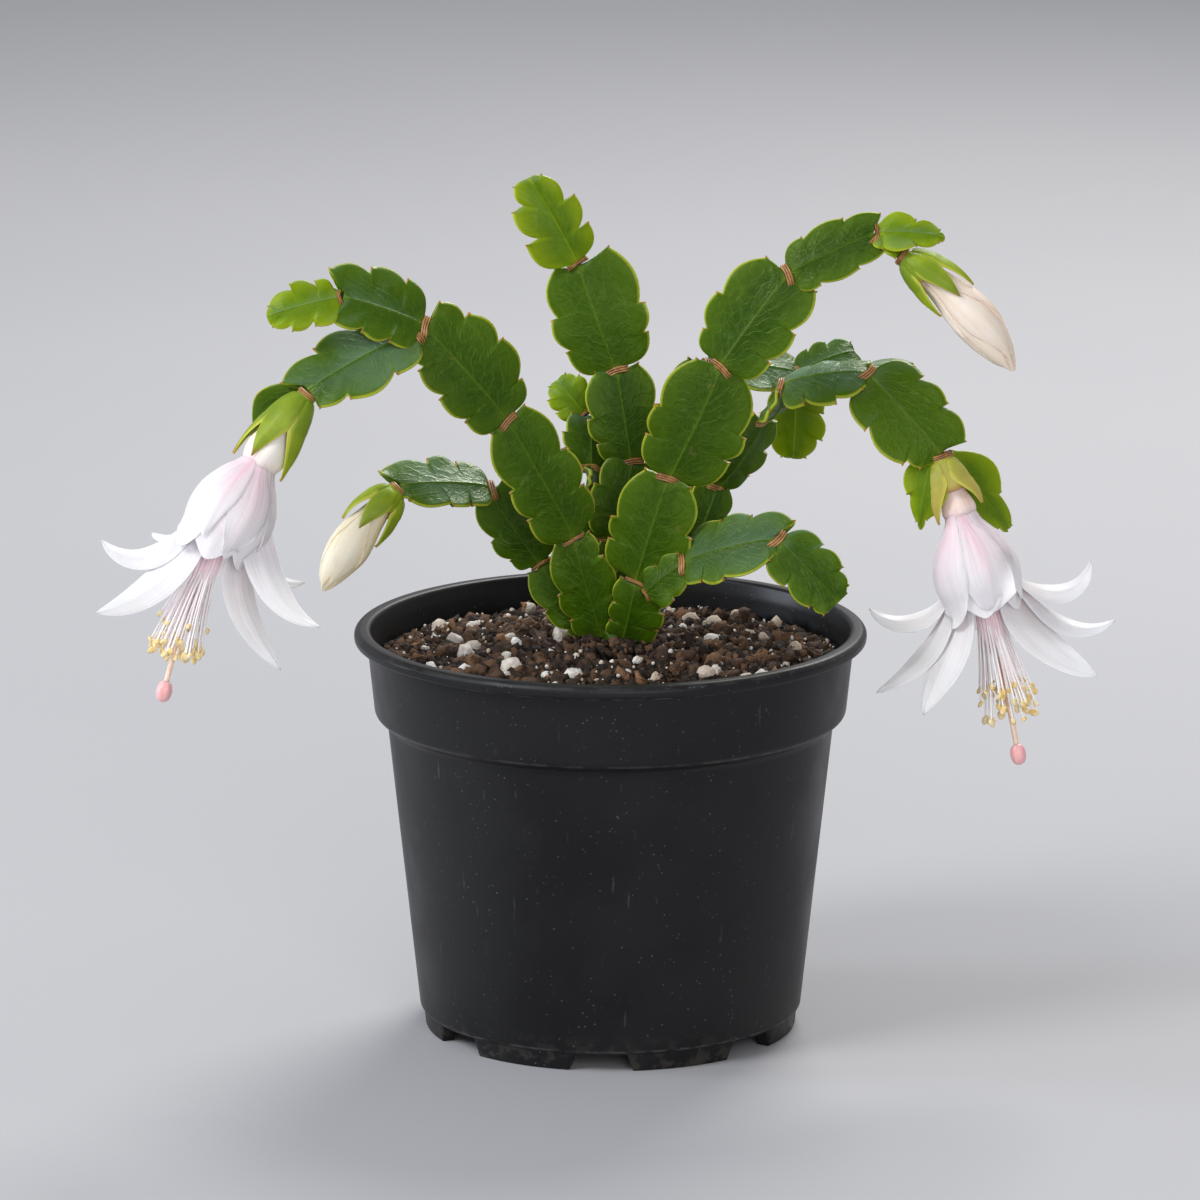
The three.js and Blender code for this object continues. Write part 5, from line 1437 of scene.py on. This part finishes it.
def build_threads(name, axis, mouth, fan, seed):
    """Lines for the filaments from the throat to the anthers, dressed by the thread tree."""
    chance = random.Random(seed)
    nearest, farthest, widest = fan
    points, edges = [], []
    for number in range(FILAMENTS):
        angle = number * GOLDEN_ANGLE + chance.uniform(-0.3, 0.3)
        spread = math.sqrt((number + 0.8) / FILAMENTS)
        reach = mouth + nearest + (farthest - nearest) * chance.random()
        wobble = chance.uniform(-0.8, 0.8)
        first = len(points)
        for step in range(FILAMENT_STEPS + 1):
            t = step / FILAMENT_STEPS
            out = spread * (1.5 + (3.0 - 1.5) * min(1, t * 2.2)
                            + (widest - 3.0) * max(0, t - 0.35) ** 1.3 / 0.57)
            turn = angle + 0.10 * wobble * t
            along = mouth - THROAT + (reach - mouth + THROAT) * t
            sway = wobble * math.sin(math.pi * t) * 0.5
            points.append(axis.place(out * math.cos(turn) + sway, out * math.sin(turn), along))
        edges += [(first + k, first + k + 1) for k in range(FILAMENT_STEPS)]
    mesh = bpy.data.meshes.new(name)
    mesh.from_pydata([tuple(p * MM) for p in points], edges, [])
    threads = add_object(name, mesh)
    run_tree(threads, thread_tree(name + " lines"), {**THREAD_SIZES, "Seed": seed})
    return threads


def build_sheath(name, axis, mouth):
    """The ribbed pink-white tube that the inner filaments form together in the throat."""
    profile = smooth_profile([(mouth - 9, 1.6), (mouth - 2, 2.4), (mouth + 3, 3.0),
                              (mouth + 7, 2.7), (mouth + 11, 1.2)], 26)
    ribs = turned_shape(axis, profile, 96, lambda angle, share: 0.06 * math.cos(20 * angle),
                        lambda share: 0.95 - 0.7 * share)
    return marked_object(name, [ribs], (brightened_bell_tissue,), PETAL_MARKS)


def build_pistil(name, axis, mouth):
    """The coral style and its stigma, an egg of narrow lobes that are still closed."""
    end = axis.length
    style = smooth_profile([(mouth - 9.5, 0.85), (mouth + 4, 0.72), (end - 9, 0.62),
                            (end - 4.2, 0.62)], 24)
    bulb = [(0.12 + 1.68 * math.sin(math.pi * k / 18) ** 0.85,
             end - 5 * (1 + math.cos(math.pi * k / 18)) / 2) for k in range(19)]
    shapes = [turned_shape(axis, style, 12, None, lambda share: min(1, 1.6 * share ** 1.6)),
              turned_shape(axis, bulb, 36,
                           lambda angle, share: 0.06 * abs(math.cos(3 * angle)) - 0.03,
                           lambda share: 2.0)]
    return marked_object(name, shapes, (pistil_coral,), PETAL_MARKS)


def build_flower(side, line, neck, mouth, bell, petals, bracts, fan, node, swell, ripe, seed):
    """A whole flower: calyx, petals, stamens and pistil, each in place of its plain solid."""
    chance = random.Random(seed)
    axis = BloomAxis(*line)
    calyx = build_calyx(f"{side}_flower_calyx", axis, bracts, OVARY_TOP, ripe, chance)
    shapes = [(*tube_shape(axis, neck, swell, 0.7 * ripe), 1)]
    shapes += [(*bell_petal(axis, neck, mouth, node, spec, chance), 2) for spec in bell]
    shapes += [long_petal(axis, spec, mouth, chance) for spec in petals]
    corolla = marked_object(f"{side}_flower_petals", shapes,
                            (flower_tissue, tube_tissue, brightened_bell_tissue), PETAL_MARKS)
    threads = build_threads(f"{side}_flower_stamens", axis, mouth, fan, seed)
    dress(build_sheath(f"{side}_flower_sheath", axis, mouth))
    pistil = build_pistil(f"{side}_flower_pistil", axis, mouth)
    dress(calyx, f"flower_{side}_calyx")
    dress(corolla, f"flower_{side}_petals")
    dress(threads, f"flower_{side}_stamens")
    dress(pistil, f"flower_{side}_pistil")


# Bell petals by centre angle, half spread, lip beyond the mouth, layer, how pointed, flare, pink
# and how far the right edge curls out
LEFT_BELL = [
    (-95, 48, 1.0, 0, 4.0, 1.6, 0.5, 0), (-28, 46, 0.9, 0, 3.2, 1.5, 0.35, 0),
    (40, 48, 1.4, 0, 2.6, 1.4, 0.3, 0), (104, 46, 1.8, 0, 3.0, 1.2, 0.3, 0),
    (165, 46, 1.4, 0, 2.6, 1.4, 0.35, 0), (-150, 44, 1.2, 1, 3.4, 1.8, 0.5, 0),
    (-66, 36, -0.6, 1, 7.0, 0.6, 0.7, 0), (0, 34, -1.0, 1, 6.0, 0.6, 0.4, 0),
    (72, 40, 0.4, 1, 5.0, 0.8, 0.4, 0), (134, 38, -0.8, 1, 6.0, 0.6, 0.4, 0),
    (-112, 24, -3.4, 2, 8.0, 0.2, 0.9, 0),
]
RIGHT_BELL = [
    (-95, 48, 0.6, 0, 4.0, 1.6, 0.5, 0), *LEFT_BELL[1:5],
    (-150, 46, 1.6, 2.2, 3.4, 2.2, 0.6, 0), (-78, 37, -0.4, 1.3, 2.2, 0.8, 0.8, 3.6),
    (-14, 40, -1.0, 0.6, 3.0, 1.4, 0.4, 0), *LEFT_BELL[8:10],
]
# Long petals by where the tip ends, by where in the petal's own plane it starts and swings to, and
# by half width, twist in degrees, share of the twist at the foot and how wide the foot is
LEFT_PETALS = [
    {"tip": (-24.2, 2, 50.2), "swing": [(6.5, 45.5), (14.5, 55)], "half": 3.6, "twist": -56,
     "early": 0.3, "foot": 0.3},
    {"tip": (-19.6, -7, 63.6), "swing": [(3.5, 47.5), (10.6, 59.2)], "half": 4.6, "twist": -50,
     "early": 0.3, "foot": 0.28},
    {"tip": (-14.3, 11, 45.8), "root": (7, 32), "swing": [(5.5, 40.5), (11.8, 45.6)], "half": 3.4,
     "twist": -30},
    {"tip": (22.3, 11.8, 41.5), "root": (6.5, 32), "swing": [(11, 36), (16.5, 47.5)], "half": 3.2,
     "twist": 40},
    {"tip": (29.5, -6.3, 48.4), "root": (6.5, 33), "swing": [(11, 38.5), (19, 50.5)], "half": 4.4,
     "twist": 66, "early": 0.55, "foot": 0.34},
    {"tip": (24.5, 4, 64.8), "swing": [(5, 48), (16, 57.5)], "half": 4.4, "twist": 72, "early": 0.5,
     "foot": 0.3},
    {"tip": (2, 20, 49), "swing": [(6.5, 45), (14, 50)], "half": 4.2},
]
RIGHT_PETALS = [
    {"tip": (-26.4, 4.2, 31.1), "root": (6.5, 28), "swing": [(8.6, 37.8), (22.6, 39.7)],
     "half": 3.2, "twist": -46},
    {"tip": (-29.5, -3.1, 50.8), "swing": [(9.2, 39.7), (18.9, 48.3)], "half": 3.6, "twist": -46},
    {"tip": (-20, -8.9, 57.7), "swing": [(5.5, 41.5), (16, 48.6)], "half": 5, "twist": -40},
    {"tip": (26.3, 6.1, 34), "root": (6.5, 28), "swing": [(8.4, 37), (22.5, 43.8)], "half": 3.4,
     "twist": 46},
    {"tip": (28.5, 3, 47.7), "swing": [(10, 38.2), (16.8, 51.7)], "half": 3.2, "twist": 46},
    {"tip": (21.1, -6.9, 57.7), "swing": [(4, 41.5), (14, 51.8)], "half": 5.2, "twist": 46},
    {"tip": (-2, 19, 44), "swing": [(6.5, 40), (14, 45)], "half": 4.2},
]

# fan: how far beyond the mouth the shortest and the longest filament reach, and how wide they
# spread; node: the angle that the petals' feet lean towards; bracts: their tips and half widths
build_flower(
    "left", line=((-69, -30, 157.5), (-94.5, -35, 125), (-103, -39, 87)), neck=20.2, mouth=43,
    bell=LEFT_BELL, petals=LEFT_PETALS, fan=(17, 26, 6.6), node=-118, swell=1.25, ripe=0.15,
    bracts=[((-6.4, 1, 21), 4.4), ((-2.6, -4.8, 18.8), 4.4), ((6.2, -2.6, 20.5), 5.4),
            ((1, 5.5, 18), 4.4)], seed=41)
build_flower(
    "right", line=((76.5, -6, 138), (88.5, -10, 104.5), (95.5, -13, 65.5)), neck=16.5, mouth=38.2,
    bell=RIGHT_BELL, petals=RIGHT_PETALS, fan=(17, 26.5, 6.8), node=-90, swell=1.0, ripe=0.9,
    bracts=[((-5.4, -2.6, 15.4), 4.6), ((5.7, -2.6, 13.4), 4.6), ((0.5, 5.4, 15), 4.6)], seed=42)


# Buds
# Two buds are still closed. Their petals are wrapped round each other in a slow spiral, cream and
# gold on the left one and pinker on the right one, in a green cup of bracts like a flower's.

BUD_PETAL_HALF_THICKNESS = 0.26
BUD_CONE_SHARE = 0.2
BUD_FOOT_SHARE = BUD_CONE_SHARE * 0.7
BUD_TURN = 34
# Share of the way from joint to end, radius of the bud there as a share of its widest
BUD_SHAPE = [(0.14, 0.45), (0.2, 0.50), (0.34, 0.68), (0.48, 0.90), (0.6, 1.0), (0.74, 0.88),
             (0.88, 0.55), (0.96, 0.24), (1, 0.07)]
# Bud petals by centre angle, half spread, layer and where the tip ends
BUD_PETALS = [(-160, 70, 0, 1.0), (-40, 70, 0, 1.0), (80, 70, 0, 1.0), (-100, 52, 1, 0.95),
              (20, 52, 1, 0.93), (140, 52, 1, 0.94), (-62, 36, 2, 0.72), (178, 36, 2, 0.66),
              (60, 36, 2, 0.7)]


def bud_petal(axis, radius, spec, chance):
    """A petal wrapped round the bud, turning a little on its way to the tip."""
    centre, spread, layer, end = spec
    tone = chance.random()

    def point(s, u):
        share = BUD_FOOT_SHARE + (end - 0.06 * abs(u) ** 2 * (layer + 1) - BUD_FOOT_SHARE) * s
        wide = radius * between(BUD_SHAPE, share) * (0.90 + 0.055 * layer)
        wide += 0.12 * math.exp(-(u / 0.2) ** 2) - 0.10 * layer * max(0, s - 0.85) / 0.15
        if layer == 2:
            narrow = math.sin(math.pi * min(1, 0.28 + 0.72 * s)) ** 0.6
        else:
            narrow = min(1, 0.6 + s) * (1 - 0.55 * max(0, s - 0.75) / 0.25)
        angle = math.radians(centre + spread * u * max(0.06, narrow) + BUD_TURN * s)
        warm = 0.8 * max(0, math.cos(angle - 0.4)) * (1 - 0.4 * s)
        return axis.round(wide, angle, share * axis.length), (tone, abs(u), s, u, warm)

    return sheet_shape(BRACT_GRID, point, BUD_PETAL_HALF_THICKNESS)


def build_bud(side, line, radius, bracts, tissue, ripe, seed):
    """A closed bud: its calyx, and its petals round a core that fills them."""
    chance = random.Random(seed)
    axis = BloomAxis(*line)
    cone_top = BUD_CONE_SHARE * axis.length
    calyx = build_calyx(f"{side}_bud_calyx", axis, bracts, cone_top, ripe, chance)
    core = [(share * axis.length, 0.86 * radius * wide) for share, wide in BUD_SHAPE]
    shapes = [turned_shape(axis, smooth_profile(core, 22), 32)]
    shapes += [bud_petal(axis, radius, spec, chance) for spec in BUD_PETALS]
    petals = marked_object(f"{side}_bud_petals", shapes, (tissue,), PETAL_MARKS)
    dress(calyx, f"bud_{side}_calyx")
    dress(petals, f"bud_{side}_petals")


golden_bud = petal_tissue(
    "cream bud tissue", (1.0, 0.91, 0.75), (0.97, 0.82, 0.58), (0.90, 0.57, 0.19),
    (0.96, 0.84, 0.58), 0.5, (0.88, 0.70, 0.44), 0.3)
pink_bud = petal_tissue(
    "pink bud tissue", (1.0, 0.87, 0.76), (0.98, 0.78, 0.62), (0.92, 0.56, 0.36),
    (0.97, 0.80, 0.62), 0.5, (0.88, 0.64, 0.46), 0.3)
build_bud("left", ((-49, -2, 129), (-60, -5.5, 119), (-67, -8, 106)), 4.9,
          [((-5.2, -1.4, 13.8), 3.2), ((-0.6, -5.2, 13.3), 3), ((5, -1.5, 14.4), 3.2),
           ((0, 5.3, 13), 3.2)], golden_bud, 0.15, 51)
build_bud("right", ((66.5, -16, 187), (82.5, -18, 176.5), (92.5, -20, 160.5)), 5.4,
          [((-5.2, -2, 16.6), 3.2), ((5.2, -1.6, 16.8), 3.2), ((1.2, -5.2, 16.4), 3),
           ((0, 5.4, 15.5), 3.4)], pink_bud, 0.1, 52)


# Floor, light and camera
# The plant stands on a plain pale floor in soft studio light. The camera looks down at it a little,
# from the front and from far enough to flatten the view.

FLOOR_HALF_WIDTH = 6
CAMERA_PLACE = (-0.00245, -1.8209, 0.5282)
CAMERA_TILT = 0.230


def build_floor():
    """A plain floor under the pot, which is no part of it."""
    finish = Finish("pale floor", {"Roughness": 0.75})
    finish.two_tone((0.40, 0.402, 0.42), (0.425, 0.425, 0.44), finish.patches(1.2))
    half = FLOOR_HALF_WIDTH
    mesh = bpy.data.meshes.new("floor")
    mesh.from_pydata([(-half, -half, 0), (half, -half, 0), (half, half, 0), (-half, half, 0)], [],
                     [(0, 1, 2, 3)])
    mesh.materials.append(finish.done())
    add_object("floor", mesh)


def soft_light(name, place, height, width, power, colour=(1, 1, 1)):
    """A round lamp that is turned to a height on the plant's middle line."""
    lamp = bpy.data.lights.new(name, "AREA")
    lamp.shape, lamp.size, lamp.energy, lamp.color = "DISK", width, power, colour
    light = add_object(name, lamp)
    light.location = place
    aim = Vector((0, 0, height)) - Vector(place)
    light.rotation_euler = aim.to_track_quat("-Z", "Y").to_euler()


build_floor()
soft_light("key", (-1.1, -0.75, 1.25), 0.12, 0.7, 16, (0.98, 0.99, 1.0))
soft_light("fill", (0.3, -1.7, 0.6), 0.12, 0.9, 10)
soft_light("side", (-1.5, 0.1, 0.45), 0.08, 0.5, 9.5, (0.80, 0.88, 1.0))
soft_light("back", (0.35, 1.0, 1.1), 0.14, 0.7, 16, (1.0, 0.98, 0.95))
room = bpy.data.worlds.new("room")
room.use_nodes = True
air = room.node_tree.nodes["Background"]
air.inputs["Color"].default_value = (0.92, 0.94, 1.0, 1)
air.inputs["Strength"].default_value = 0.42
bpy.context.scene.world = room
bpy.context.scene.view_settings.view_transform = "Standard"
lens = bpy.data.cameras.new("camera")
lens.lens, lens.sensor_width = 240, 36
camera = add_object("camera", lens)
camera.location = CAMERA_PLACE
camera.rotation_euler = (math.pi / 2 - CAMERA_TILT, 0, 0)
bpy.context.scene.camera = camera
